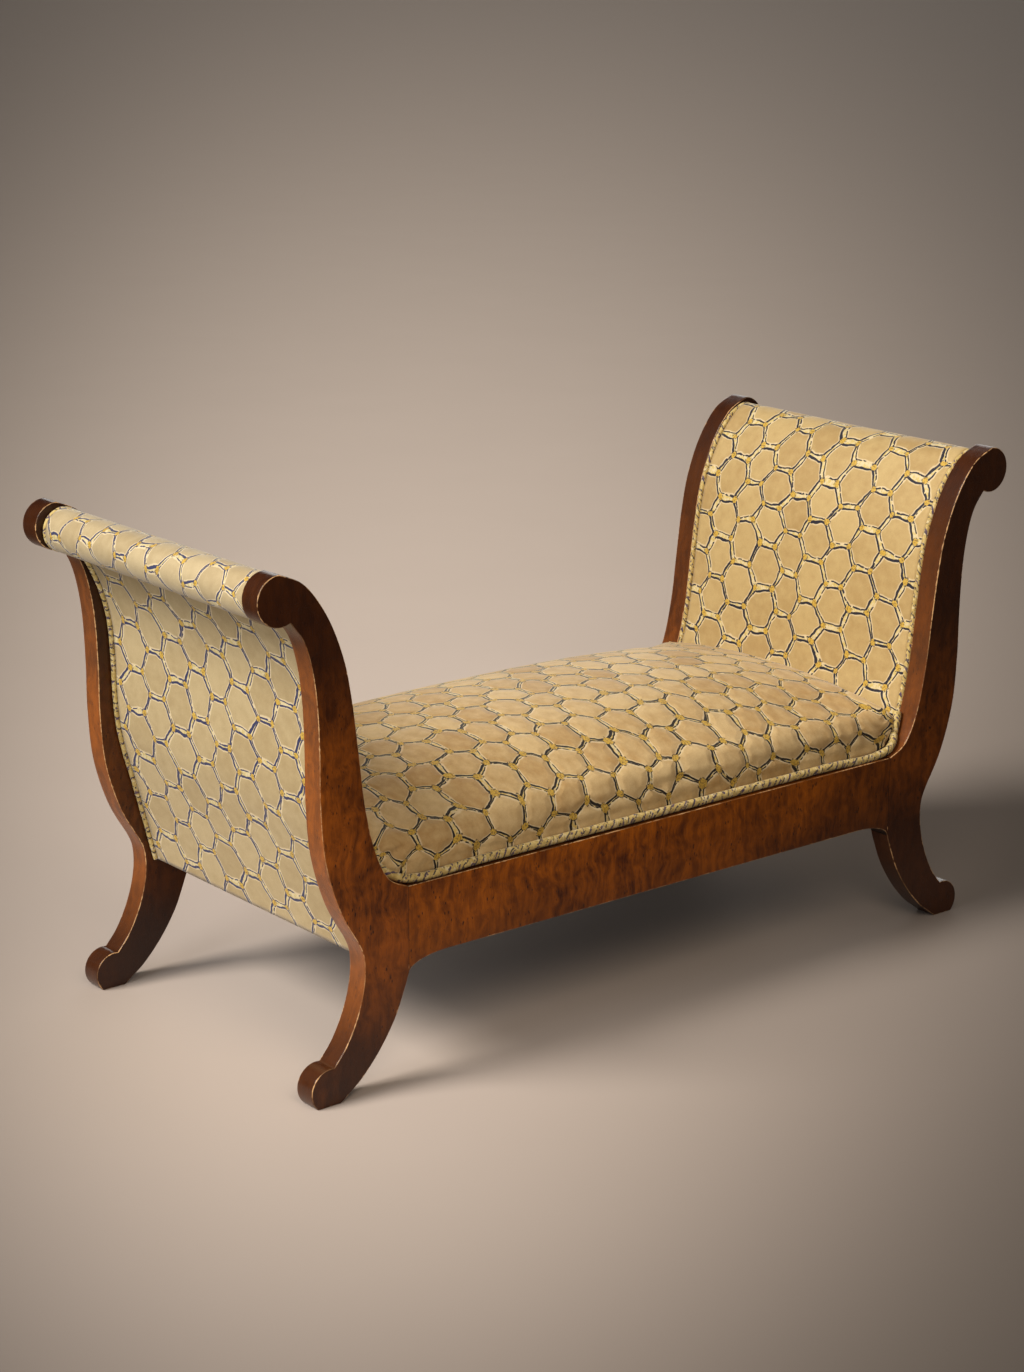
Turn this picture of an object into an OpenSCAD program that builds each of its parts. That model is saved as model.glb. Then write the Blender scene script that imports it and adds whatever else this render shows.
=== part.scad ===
// Recamier with two scrolled ends, for one person to lie or sit on.
// Each end has two S-curved boards, post and sabre leg in one, with a padded panel between them.
// Z is up, the feet stand on Z = 0, X runs along the seat and the front is towards -Y.

/* [Overall] */
// Length over the scrolls
overall_l = 1650; // [1560:10:1800]
// Height to the top of the scrolls
overall_h = 880; // [840:5:940]
// Depth over the side boards
overall_d = 690; // [640:5:780]
// Length of an end, from the rail's joint to the outside of the scroll
end_reach = 277; // [255:1:300]

/* [Side boards] */
// Thickness of a side board
board_t = 42; // [34:1:50]
// Radius of the scroll
scroll_r = 41; // [38:1:44]
// Radius of the rounded toe
toe_r = 37; // [32:1:40]
// Distance of the toe's outside from the scroll's outside, along the seat
toe_inset = 84; // [65:1:100]

/* [Long rails] */
// Height of a long rail
rail_h = 124; // [110:1:140]
// Thickness of a long rail
rail_t = 42; // [34:1:50]
// Height of the rail's lower edge above the floor
rail_under = 212; // [195:1:230]
// Length of the cove at each end of a rail
cove_l = 80; // [50:1:140]
// Depth of the cove where it meets the leg
cove_drop = 24; // [10:1:40]
// Width of the step for the webbing along the inner top edge
rebate_w = 18; // [14:1:24]
// Depth of that step
rebate_h = 6; // [4:0.5:9]

/* [Cross rails] */
// Thickness of an end rail
end_rail_t = 28; // [20:1:34]
// Height of an end rail's lower edge above the floor
end_rail_under = 222; // [214:1:232]
// Thickness of the tack rail behind the foot of an inner pad
tack_rail_t = 20; // [14:1:24]
// Radius of the round top rail inside a roll
top_rail_r = 26; // [20:1:29]
// Width of the middle stretcher
stretcher_w = 45; // [30:1:70]
// Height of the middle stretcher
stretcher_h = 44; // [30:1:60]
// Distance of the stretcher's top below the rail's top
stretcher_drop = 50; // [40:1:60]

/* [Blocks and battens] */
// Length of a corner block's legs
block_leg = 80; // [70:1:95]
// Height of a corner block
block_h = 66; // [40:1:80]
// Height of a corner block above the lower edge of the end rail
block_lift = 20; // [16:1:26]
// Width of an upright batten, across the depth of the seat
batten_w = 20; // [14:1:26]

/* [Dowels, screws and tacks] */
// Diameter of a long rail's dowels
rail_dowel_d = 12; // [8:1:16]
// Length of a long rail's dowels
rail_dowel_l = 60; // [40:2:64]
// Diameter of the dowels of the end rails and the stretcher
cross_dowel_d = 10; // [6:1:12]
// Length of the dowels of the cross rails
cross_dowel_l = 44; // [30:2:50]
// Diameter of a top rail's dowel
top_dowel_d = 20; // [12:1:24]
// Diameter of a wood screw
screw_d = 4; // [3:0.5:5]
// Length of a wood screw with its head
screw_l = 40; // [34:1:44]
// Diameter of a tack's shank
tack_d = 1.8; // [1.4:0.1:2.4]
// Diameter of a tack's head
tack_head_d = 5; // [4:0.5:6]
// Length of a tack below its head
tack_l = 11; // [9:1:13]
// Thickness of a tack's head
tack_head_t = 0.8; // [0.5:0.1:1.2]

/* [Webbing and cloth] */
// Width of a webbing strap
web_w = 50; // [40:2:60]
// Thickness of the webbing
web_t = 1.5; // [1:0.1:2]
// Number of straps across the seat
straps_across = 7; // [5:1:7]
// Distance from a rail's joint to the middle of its first strap
cross_margin = 98; // [95:1:130]
// Number of straps along the seat
straps_along = 4; // [3:1:4]
// Distance from the rails' inner faces to the middle of the first strap
long_margin = 93; // [80:1:120]
// Number of straps in each end
straps_in_end = 5; // [3:1:5]
// Thickness of hessian and lining cloth
cloth_t = 1; // [0.6:0.1:1.4]

/* [Seat] */
// Height of the seat's edge above the rail
seat_edge_h = 69; // [60:1:80]
// Rise of the crown along the ends of the seat
seat_end_crown = 25; // [10:1:35]
// Further rise of the crown in the middle of the seat
seat_mid_crown = 58; // [40:1:75]
// Corner radius of the seat
seat_corner_r = 48; // [46:1:60]
// Height of the hair stuffing above the rail
stuffing_h = 54; // [40:1:58]
// Diameter of the seat's piping
seat_piping_d = 15; // [10:1:16]
// Distance from the rail's face to the middle of the piping
seat_piping_in = 12; // [10:1:16]

/* [Ends] */
// Thickness of an inner pad at its edges
pad_t = 17; // [12:1:20]
// Bulge of an inner pad between the boards
pad_crown = 10; // [4:1:14]
// Radius of the padded roll
roll_r = 38; // [35:1:40]
// Distance of the roll's centre from the scroll's centre, towards the seat
roll_in = 9; // [6:1:12]
// Distance of the roll's centre below the scroll's centre
roll_drop = 6; // [4:1:8]
// Thickness of an outer panel
panel_t = 4; // [3:0.5:6]
// Diameter of the piping on the ends
end_piping_d = 10; // [8:0.5:12]

/* [Hidden] */

// Mirror signs
LEFT = -1;
RIGHT = 1;
FRONT = -1;
BACK = 1;

// Clearances and cuts
soft_gap = 0.3;
dowel_gap = 0.1;
hole_extra = 1;
overrun = 2;

// Main places, for the right end and the back
seam_x = overall_l / 2 - end_reach;
rail_l = 2 * seam_x;
rail_top = rail_under + rail_h;
post_h = overall_h - rail_top;
seam_foot = rail_under - cove_drop;
face_y = overall_d / 2;
board_in_y = face_y - board_t;
rail_in_y = face_y - rail_t;
inner_y = min(board_in_y, rail_in_y);
scroll_mid = [overall_l / 2 - scroll_r, overall_h - scroll_r];

// Outline points as shares: across the reach, and up the post above the rail
inner_edge_shares = [
    [0, 0], [0.141, 0.040], [0.238, 0.140], [0.301, 0.283], [0.339, 0.439],
    [0.379, 0.596], [0.433, 0.728], [0.538, 0.857], [0.686, 0.958]
];
outer_edge_shares = [
    [0.700, 0.798], [0.646, 0.710], [0.616, 0.596], [0.606, 0.449], [0.606, 0.301], [0.578, 0.136]
];
outer_panel_shares = [
    [0.376, 0.044], [0.466, 0.210], [0.498, 0.338], [0.505, 0.485],
    [0.520, 0.596], [0.567, 0.697], [0.646, 0.789]
];
// Outline points as shares: across the reach, and up from the floor to the rail's top
thigh_shares = [0.484, 0.967];
knee_shares = [0.357, 0.780];
leg_outer_shares = [[0.321, 0.708], [0.314, 0.610], [0.336, 0.497], [0.386, 0.378], [0.458, 0.268]];
// Outline points as shares: across the reach, and up from the floor to the foot of the seam
leg_inner_shares = [
    [0.495, 0], [0.448, 0.050], [0.336, 0.176], [0.209, 0.383], [0.101, 0.628], [0.029, 0.878], [0, 1]
];
toe_lift_share = 0.73;
scroll_notch_angle = -116;
toe_notch_angle = 101;
panel_foot_share = 0.245;

// Smooth curve through hand-picked points
function spline_pt(a, b, c, d, t) =
    b + ((c - a) * t + (2 * a - 5 * b + 4 * c - d) * t * t + (3 * b - a - 3 * c + d) * t * t * t) / 2;
function spline(pts, steps) = let (last = len(pts) - 1) [
    for (i = [0 : last - 1], k = [0 : steps - 1])
        spline_pt(pts[max(i - 1, 0)], pts[i], pts[i + 1], pts[min(i + 2, last)], k / steps),
    pts[last]
];
function arc(mid, r, from, to, steps) = [
    for (k = [0 : steps]) let (a = from + (to - from) * k / steps) mid + r * [cos(a), sin(a)]
];
function part_of(list, first, drop) = [for (i = [first : len(list) - 1 - drop]) list[i]];
function reversed(list) = [for (i = [len(list) - 1 : -1 : 0]) list[i]];
function unit(v) = v / norm(v);
function blend(a, b, t) = a + (b - a) * t;
function ease(t) = let (u = min(max(t, 0), 1)) u * u * (3 - 2 * u);

function post_pt(s) = [seam_x + s[0] * end_reach, rail_top + s[1] * post_h];
function leg_pt(s) = [seam_x + s[0] * end_reach, s[1] * rail_top];
function foot_pt(s) = [seam_x + s[0] * end_reach, s[1] * seam_foot];

// Outline of a side board, in X and Z
inner_edge = spline(concat([for (s = inner_edge_shares) post_pt(s)],
    [[scroll_mid[0], overall_h]]), 6);
scroll_arc = arc(scroll_mid, scroll_r, 90, scroll_notch_angle, 30);
outer_edge = spline(concat([scroll_arc[len(scroll_arc) - 1]],
    [for (s = outer_edge_shares) post_pt(s)], [leg_pt(thigh_shares), leg_pt(knee_shares)]), 5);
toe_mid = [overall_l / 2 - toe_inset - toe_r, toe_r * toe_lift_share];
toe_arc = arc(toe_mid, toe_r, toe_notch_angle, -asin(toe_lift_share), 14);
leg_outer = spline(concat([leg_pt(knee_shares)], [for (s = leg_outer_shares) leg_pt(s)],
    [toe_arc[0]]), 5);
leg_inner = spline([for (s = leg_inner_shares) foot_pt(s)], 4);
board_outline = concat(inner_edge, part_of(scroll_arc, 1, 0), part_of(outer_edge, 1, 0),
    part_of(leg_outer, 1, 0), part_of(toe_arc, 1, 0), leg_inner);

// The inner edge as a height table, and lines that run beside it
inner_table = [for (p = inner_edge) [p[1], p[0]]];
function inner_x(z) = lookup(z, inner_table);
function inner_out(z) = let (h = post_h / 400, w = inner_x(z + h) - inner_x(z - h))
    unit([2 * h, -w]);
function beside_inner(z, out) = [inner_x(z), z] + out * inner_out(z);
function post_z(share) = rail_top + share * post_h;
function inner_line(low_share, high_share, out, steps) = [
    for (k = [0 : steps]) beside_inner(post_z(blend(low_share, high_share, k / steps)), out)
];
module inner_strip(low_share, high_share, near, far, steps) {
    polygon(concat(inner_line(low_share, high_share, near, steps),
        reversed(inner_line(low_share, high_share, far, steps))));
}

// Layers of an end, from the sitter outwards, measured from the boards' inner edge
hessian_out = pad_t + 2 * soft_gap;
web_out = hessian_out + cloth_t + soft_gap;
batten_out = web_out + web_t + soft_gap;
tack_rail_out = web_out;
pad_foot_share = 0.066;
tack_rail_high_share = 0.12;
batten_foot_share = 0.135;
batten_head_share = 0.80;
end_head_share = 0.80;
pad_back_head_share = 0.785;
web_head_share = 0.77;

// The roll and the line of the outer panel
roll_mid = scroll_mid - [roll_in, roll_drop];
panel_head_angle = 233;
panel_head = roll_mid + (roll_r + panel_t * 0.7) * [cos(panel_head_angle), sin(panel_head_angle)];
panel_foot = [seam_x + panel_foot_share * end_reach, end_rail_under - cloth_t];
panel_line = spline(concat([panel_foot], [for (s = outer_panel_shares) post_pt(s)],
    [panel_head]), 4);
// A line moved sideways; a positive shift goes to the right of its direction
function shifted(line, by) = let (last = len(line) - 1) [
    for (i = [0 : last])
        let (d = unit(line[min(i + 1, last)] - line[max(i - 1, 0)])) line[i] + by * [d[1], -d[0]]
];
panel_back_line = shifted(panel_line, -panel_t);

// Places of the cross rails
end_rail_x = panel_foot[0] - panel_t - soft_gap - end_rail_t;
end_rail_mid_x = end_rail_x + end_rail_t / 2;
web_floor = rail_top - rebate_h;
end_rail_top = web_floor + web_t;
tack_rail_mid = beside_inner(post_z((pad_foot_share + tack_rail_high_share) / 2),
    tack_rail_out + tack_rail_t / 2);
stretcher_top = rail_top - stretcher_drop;

// Dowel heights, as shares of the piece that they join
dowel_shares = [0.25, 0.75];
end_dowel_shares = [0.3, 0.7];
stretcher_dowel_shares = [-0.25, 0.25];
rail_dowel_y = face_y - min(board_t, rail_t) / 2;

// Where the battens are screwed, as shares of the post's height
batten_screw_shares = [0.20, 0.46, 0.72];
screw_head_d = 2 * screw_d;
screw_head_h = screw_d;
panel_table = [for (p = panel_line) [p[1], p[0]]];
function batten_mid_x(z) = (inner_x(z) + batten_out + lookup(z, panel_table) - panel_t) / 2;
block_screw_share = 0.62;

// Webbing and cloth levels
long_web_z = web_floor + web_t;
seat_cloth_z = long_web_z + web_t;
rebate_mid_y = rail_in_y + rebate_w / 2;
strap_half = rail_in_y + rebate_w - soft_gap;
long_strap_half = end_rail_x + end_rail_t - soft_gap;
strap_tack_shares = [-0.3, 0.3];
cover_tacks_across = 5;
cover_tacks_along = 8;
cover_hem_h = 14 * cloth_t;

// Colours
wood_colour = [0.36, 0.17, 0.07];
core_colour = [0.70, 0.55, 0.36];
dowel_colour = [0.80, 0.68, 0.48];
steel_colour = [0.45, 0.44, 0.43];
web_colour = [0.62, 0.52, 0.36];
hessian_colour = [0.66, 0.55, 0.37];
hair_colour = [0.30, 0.25, 0.20];
fabric_colour = [0.75, 0.65, 0.43];
piping_colour = [0.80, 0.70, 0.42];
cover_colour = [0.16, 0.15, 0.15];

// Mirrors what is drawn for the right end and the back
module at(side, face = BACK) {
    scale([side, face, 1]) children();
}
// An outline in X and Z, extruded along Y
module xz_plate(y_low, y_high) {
    translate([0, y_high, 0]) rotate([90, 0, 0]) linear_extrude(y_high - y_low) children();
}
module rod_x(d, x_low, x_high, y, z) {
    translate([x_low, y, z]) rotate([0, 90, 0]) cylinder(d = d, h = x_high - x_low, $fn = 32);
}
module rod_y(d, y_low, y_high, x, z) {
    translate([x, y_high, z]) rotate([90, 0, 0]) cylinder(d = d, h = y_high - y_low, $fn = 32);
}

// Skin through rings of points: each ring joins the next, and both ends are closed
function ring_faces(rings, n) = [
    for (k = [0 : rings - 2], i = [0 : n - 1]) let (j = (i + 1) % n, a = k * n, b = a + n)
        each [[a + i, b + i, a + j], [a + j, b + i, b + j]]
];
module loft(rings) {
    n = len(rings[0]);
    top = (len(rings) - 1) * n;
    polyhedron([for (ring = rings) each ring],
        concat(ring_faces(len(rings), n), [[for (i = [0 : n - 1]) i]],
            [[for (i = [n - 1 : -1 : 0]) top + i]]));
}
// The same for rings of a front line and a back line with as many points; strips close the ends
module band_loft(fronts, backs) {
    m = len(fronts[0]) - 1;
    n = 2 * m + 2;
    top = (len(fronts) - 1) * n;
    start = [for (i = [0 : m - 1]) each [[i, i + 1, n - 1 - i], [i + 1, n - 2 - i, n - 1 - i]]];
    polyhedron([for (k = [0 : len(fronts) - 1]) each concat(fronts[k], reversed(backs[k]))],
        concat(ring_faces(len(fronts), n), start, [for (f = start) [for (i = reversed(f)) top + i]]));
}
// The same with a middle point that closes each end
module domed_loft(rings, start, end) {
    n = len(rings[0]);
    top = (len(rings) - 1) * n;
    mid = len(rings) * n;
    polyhedron(concat([for (ring = rings) each ring], [start, end]),
        concat(ring_faces(len(rings), n),
            [for (i = [0 : n - 1]) let (j = (i + 1) % n)
                each [[i, j, mid], [top + i, mid + 1, top + j]]]));
}
// A round tube along a path that is nowhere parallel to Y
module tube(path, d) {
    last = len(path) - 1;
    rings = [for (i = [0 : last])
        let (along = unit(path[min(i + 1, last)] - path[max(i - 1, 0)]),
            across = unit(cross([0, 1, 0], along)), up = cross(along, across))
        [for (k = [0 : 7]) path[i] + d / 2 * (cos(45 * k) * across + sin(45 * k) * up)]];
    loft(rings);
}

// Holes of the back right board, also used to drill what meets it
module rail_dowel_set(gap, extra) {
    for (s = dowel_shares)
        rod_x(rail_dowel_d + gap, seam_x - rail_dowel_l / 2 - extra, seam_x + rail_dowel_l / 2 + extra,
            rail_dowel_y, rail_under + s * rail_h);
}
module end_rail_dowel_set(gap, extra) {
    for (s = end_dowel_shares)
        rod_y(cross_dowel_d + gap, board_in_y - cross_dowel_l / 2 - extra,
            board_in_y + cross_dowel_l / 2 + extra, end_rail_mid_x,
            blend(end_rail_under, end_rail_top, s));
}
module tack_rail_dowel_set(gap, extra) {
    rod_y(cross_dowel_d + gap, board_in_y - cross_dowel_l / 2 - extra,
        board_in_y + cross_dowel_l / 2 + extra, tack_rail_mid[0], tack_rail_mid[1]);
}
module top_rail_dowel_set(gap, extra) {
    rod_y(top_dowel_d + gap, board_in_y - cross_dowel_l / 2 - extra,
        board_in_y + cross_dowel_l / 2 + extra, roll_mid[0], roll_mid[1]);
}
module stretcher_dowel_set(gap, extra) {
    for (s = stretcher_dowel_shares)
        rod_y(cross_dowel_d + gap, rail_in_y - cross_dowel_l / 2 - extra,
            rail_in_y + cross_dowel_l / 2 + extra, s * stretcher_w, stretcher_top - stretcher_h / 2);
}
// A screw along Y with its head towards the middle of the seat
module screw_y(x, head_y, z, gap, head_room) {
    rod_y(screw_d + gap, head_y, head_y + screw_l + gap, x, z);
    rod_y(screw_head_d + gap, head_y - head_room, head_y + screw_head_h, x, z);
}
module screw_x(head_x, y, z, gap, head_room) {
    rod_x(screw_d + gap, head_x, head_x + screw_l + gap, y, z);
    rod_x(screw_head_d + gap, head_x - head_room, head_x + screw_head_h, y, z);
}
module batten_screw_set(gap, head_room) {
    for (s = batten_screw_shares) {
        z = post_z(s);
        screw_y(batten_mid_x(z), board_in_y - batten_w, z, gap, head_room);
    }
}
block_z = end_rail_under + block_lift;
block_screw_in = block_screw_share * block_leg;
block_screw_sink = block_leg - block_screw_in - screw_l / 2;
module block_screw_set(gap, head_room) {
    screw_y(end_rail_x - block_screw_in, inner_y - screw_l / 2, block_z + block_h * 0.35, gap, head_room);
    screw_x(end_rail_x - screw_l / 2, inner_y - block_screw_in, block_z + block_h * 0.65, gap, head_room);
}

// One S-curved board: post, scroll, sabre leg and toe in one piece
module side_board(side, face) {
    color(wood_colour) at(side, face) difference() {
        xz_plate(board_in_y, face_y) polygon(board_outline);
        rail_dowel_set(2 * dowel_gap, hole_extra);
        end_rail_dowel_set(2 * dowel_gap, hole_extra);
        tack_rail_dowel_set(2 * dowel_gap, hole_extra);
        top_rail_dowel_set(2 * dowel_gap, hole_extra);
        batten_screw_set(2 * dowel_gap, 0);
    }
}

// One long rail with a cove at each end and a step for the webbing
cove_line = [for (k = [0 : 12]) let (a = 90 - 7.5 * k)
    [seam_x - cove_l + cove_l * sin(a), seam_foot + cove_drop * cos(a)]];
module long_rail(face) {
    color(wood_colour) at(RIGHT, face) difference() {
        xz_plate(rail_in_y, face_y) polygon(concat([[-seam_x, rail_top], [seam_x, rail_top]],
            cove_line, [for (p = reversed(cove_line)) [-p[0], p[1]]]));
        translate([-seam_x - overrun, rail_in_y - overrun, web_floor])
            cube([rail_l + 2 * overrun, rebate_w + overrun, rebate_h + overrun]);
        for (side = [LEFT, RIGHT]) at(side) {
            rail_dowel_set(2 * dowel_gap, hole_extra);
            block_screw_set(2 * dowel_gap, 0);
        }
        stretcher_dowel_set(2 * dowel_gap, hole_extra);
        cross_tack_set(2 * dowel_gap);
        cover_tack_row(2 * dowel_gap);
    }
}

// Cross rail at each end that carries the webbing and the foot of the outer panel
module end_rail(side) {
    color(core_colour) at(side) difference() {
        translate([end_rail_x, -board_in_y, end_rail_under])
            cube([end_rail_t, 2 * board_in_y, end_rail_top - end_rail_under]);
        for (face = [FRONT, BACK]) at(RIGHT, face) {
            end_rail_dowel_set(2 * dowel_gap, hole_extra);
            block_screw_set(2 * dowel_gap, 0);
        }
        long_tack_set(2 * dowel_gap);
        cover_end_tacks(2 * dowel_gap);
    }
}

// Shaped rail behind the foot of an inner pad, where its cloth is tacked
module tack_rail(side) {
    color(core_colour) at(side) difference() {
        xz_plate(-board_in_y, board_in_y)
            inner_strip(pad_foot_share, tack_rail_high_share, tack_rail_out,
                tack_rail_out + tack_rail_t, 3);
        for (face = [FRONT, BACK]) at(RIGHT, face) tack_rail_dowel_set(2 * dowel_gap, hole_extra);
    }
}

// Round rail between the scrolls, the core of a roll
module top_rail(side) {
    color(core_colour) at(side) difference() {
        rod_y(2 * top_rail_r, -board_in_y, board_in_y, roll_mid[0], roll_mid[1]);
        for (face = [FRONT, BACK]) at(RIGHT, face) top_rail_dowel_set(2 * dowel_gap, hole_extra);
    }
}

module middle_stretcher() {
    color(core_colour) difference() {
        translate([-stretcher_w / 2, -rail_in_y, stretcher_top - stretcher_h])
            cube([stretcher_w, 2 * rail_in_y, stretcher_h]);
        for (face = [FRONT, BACK]) at(RIGHT, face) stretcher_dowel_set(2 * dowel_gap, hole_extra);
    }
}

// Glued and screwed block in the corner of long rail and end rail
module corner_block(side, face) {
    color(core_colour) at(side, face) difference() {
        translate([end_rail_x, inner_y, block_z]) linear_extrude(block_h)
            polygon([[0, 0], [-block_leg, 0], [0, -block_leg]]);
        block_screw_set(2 * dowel_gap, block_leg);
    }
}

// Upright strip on the board's inner side, where webbing and panels are fixed
module batten(side, face) {
    low_z = post_z(batten_foot_share) - batten_out / 2;
    high_z = post_z(batten_head_share) - batten_out / 2;
    outer_side = [for (p = shifted(panel_back_line, -soft_gap)) if (p[1] > low_z && p[1] < high_z) p];
    color(core_colour) at(side, face) difference() {
        xz_plate(board_in_y - batten_w, board_in_y)
            polygon(concat(inner_line(batten_foot_share, batten_head_share, batten_out, 24),
                reversed(outer_side)));
        batten_screw_set(2 * dowel_gap, overrun);
    }
}

module rail_dowels() {
    color(dowel_colour) for (side = [LEFT, RIGHT], face = [FRONT, BACK])
        at(side, face) rail_dowel_set(0, 0);
}
module end_rail_dowels() {
    color(dowel_colour) for (side = [LEFT, RIGHT], face = [FRONT, BACK])
        at(side, face) end_rail_dowel_set(0, 0);
}
module tack_rail_dowels() {
    color(dowel_colour) for (side = [LEFT, RIGHT], face = [FRONT, BACK])
        at(side, face) tack_rail_dowel_set(0, 0);
}
module top_rail_dowels() {
    color(dowel_colour) for (side = [LEFT, RIGHT], face = [FRONT, BACK])
        at(side, face) top_rail_dowel_set(0, 0);
}
module stretcher_dowels() {
    color(dowel_colour) for (face = [FRONT, BACK]) at(RIGHT, face) stretcher_dowel_set(0, 0);
}
module corner_block_screws() {
    color(steel_colour) for (side = [LEFT, RIGHT], face = [FRONT, BACK])
        at(side, face) block_screw_set(0, 0);
}
module batten_screws() {
    color(steel_colour) for (side = [LEFT, RIGHT], face = [FRONT, BACK])
        at(side, face) batten_screw_set(0, 0);
}

// Tacks through the straps, for the back rail and for the right end rail
module tack_down(x, y, z, gap) {
    translate([x, y, z - tack_l - gap]) cylinder(d = tack_d + gap, h = tack_l + gap, $fn = 16);
    if (gap == 0) translate([x, y, z]) cylinder(d = tack_head_d, h = tack_head_t, $fn = 16);
}
function strap_places(count, half) = [for (i = [0 : count - 1]) blend(-half, half, i / (count - 1))];
cross_places = strap_places(straps_across, seam_x - cross_margin);
long_places = strap_places(straps_along, rail_in_y - long_margin);
module cross_tack_set(gap) {
    for (x = cross_places, s = strap_tack_shares)
        tack_down(x + s * web_w, rebate_mid_y, web_floor + web_t, gap);
}
module long_tack_set(gap) {
    for (y = long_places, s = strap_tack_shares)
        tack_down(end_rail_mid_x, y + s * web_w, seat_cloth_z, gap);
}
module webbing_tacks() {
    color(steel_colour) {
        for (face = [FRONT, BACK]) at(RIGHT, face) cross_tack_set(0);
        for (side = [LEFT, RIGHT]) at(side) long_tack_set(0);
    }
}
module seat_cross_webbing() {
    color(web_colour) difference() {
        for (x = cross_places)
            translate([x - web_w / 2, -strap_half, web_floor]) cube([web_w, 2 * strap_half, web_t]);
        for (face = [FRONT, BACK]) at(RIGHT, face) cross_tack_set(2 * dowel_gap);
    }
}
module seat_long_webbing() {
    color(web_colour) difference() {
        for (y = long_places)
            translate([-long_strap_half, y - web_w / 2, long_web_z])
                cube([2 * long_strap_half, web_w, web_t]);
        for (side = [LEFT, RIGHT]) at(side) long_tack_set(2 * dowel_gap);
    }
}
hessian_half_x = end_rail_mid_x - tack_head_d;
// Its corners are notched round the boards
module seat_hessian() {
    between_boards = inner_y - soft_gap;
    between_seams = seam_x - soft_gap;
    color(hessian_colour) translate([0, 0, seat_cloth_z]) linear_extrude(cloth_t) {
        square([2 * hessian_half_x, 2 * between_boards], center = true);
        square([2 * between_seams, 2 * strap_half], center = true);
    }
}

// Rounded rectangle with even points, counter-clockwise from the middle of the right side
side_steps = [8, 16];
corner_steps = 5;
function rounded_rect(a, b, r) = let (c = a - r, d = b - r) concat(
    [for (k = [0 : side_steps[0] - 1]) [a, blend(-d, d, k / side_steps[0])]],
    part_of(arc([c, d], r, 0, 90, corner_steps), 0, 1),
    [for (k = [0 : side_steps[1] - 1]) [blend(c, -c, k / side_steps[1]), b]],
    part_of(arc([-c, d], r, 90, 180, corner_steps), 0, 1),
    [for (k = [0 : side_steps[0] - 1]) [-a, blend(d, -d, k / side_steps[0])]],
    part_of(arc([-c, -d], r, 180, 270, corner_steps), 0, 1),
    [for (k = [0 : side_steps[1] - 1]) [blend(-c, c, k / side_steps[1]), -b]],
    part_of(arc([c, -d], r, 270, 360, corner_steps), 0, 1));

// The seat: half sizes at the top edge, and the crowned top surface
seat_base = rail_top + soft_gap;
seat_end_top = rail_top + seat_edge_h + seat_end_crown;
seat_half_x = inner_x(seat_end_top) - 2 * soft_gap;
seat_piping_y = face_y - seat_piping_in;
seat_half_y = seat_piping_y;
seat_notch_y = seat_piping_y - seat_piping_d / 2 - 2 * soft_gap;
seat_notch_z = seat_base + seat_piping_d + 2 * soft_gap;
function seat_top(p) = let (u = min(abs(p[0]) / seat_half_x, 1), v = min(abs(p[1]) / seat_half_y, 1))
    rail_top + seat_edge_h
    + (1 - pow(v, 2.4)) * (seat_end_crown + seat_mid_crown * (1 - pow(u, 2.5)));
// A point of the seat's side, kept clear of the boards' inner curve at its height
function seat_side(p, z) = [p[0] / seat_half_x * (inner_x(z) - 2 * soft_gap), p[1], z];
function seat_side_ring(half_y, share) = [
    for (p = rounded_rect(seat_half_x, half_y, seat_corner_r))
        seat_side(p, blend(seat_notch_z, seat_top(p), share))
];
function seat_flat_ring(half_y, z) = [
    for (p = rounded_rect(seat_half_x, half_y, seat_corner_r)) seat_side(p, z)
];
function seat_top_ring(in, share, drop) = [
    for (p = rounded_rect(seat_half_x - in, seat_half_y - in, seat_corner_r - in / 3))
        [p[0] * share, p[1] * share, seat_top(share * p) - drop]
];
stuffing_half = [seam_x - overrun * 4, rail_in_y - overrun];
stuffing_top = rail_top + stuffing_h;
function stuffing_ring(grow, z) = [
    for (p = rounded_rect(stuffing_half[0] + grow, stuffing_half[1] + grow, seat_corner_r)) [p[0], p[1], z]
];
seat_round = seat_edge_h / 4;
module seat_cushion() {
    color(fabric_colour) domed_loft([
        stuffing_ring(soft_gap, stuffing_top + soft_gap),
        stuffing_ring(soft_gap, seat_base),
        seat_flat_ring(seat_notch_y, seat_base),
        seat_flat_ring(seat_notch_y, seat_notch_z),
        seat_side_ring(seat_half_y - seat_round * 0.12, 0.10),
        seat_side_ring(seat_half_y, 0.32),
        seat_side_ring(seat_half_y - seat_round * 0.12, 0.56),
        seat_side_ring(seat_half_y - seat_round * 0.42, 0.76),
        seat_top_ring(seat_round * 0.9, 1, seat_round * 0.35),
        seat_top_ring(seat_round * 1.7, 1, seat_round * 0.08),
        seat_top_ring(seat_round * 1.7, 0.86, 0),
        seat_top_ring(seat_round * 1.7, 0.66, 0),
        seat_top_ring(seat_round * 1.7, 0.42, 0),
        seat_top_ring(seat_round * 1.7, 0.18, 0)
    ], [0, 0, stuffing_top + soft_gap], [0, 0, seat_top([0, 0])]);
}
module seat_stuffing() {
    low = seat_cloth_z + cloth_t + soft_gap;
    color(hair_colour) translate([0, 0, low]) linear_extrude(stuffing_top - low)
        polygon(rounded_rect(stuffing_half[0], stuffing_half[1], seat_corner_r));
}

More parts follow.
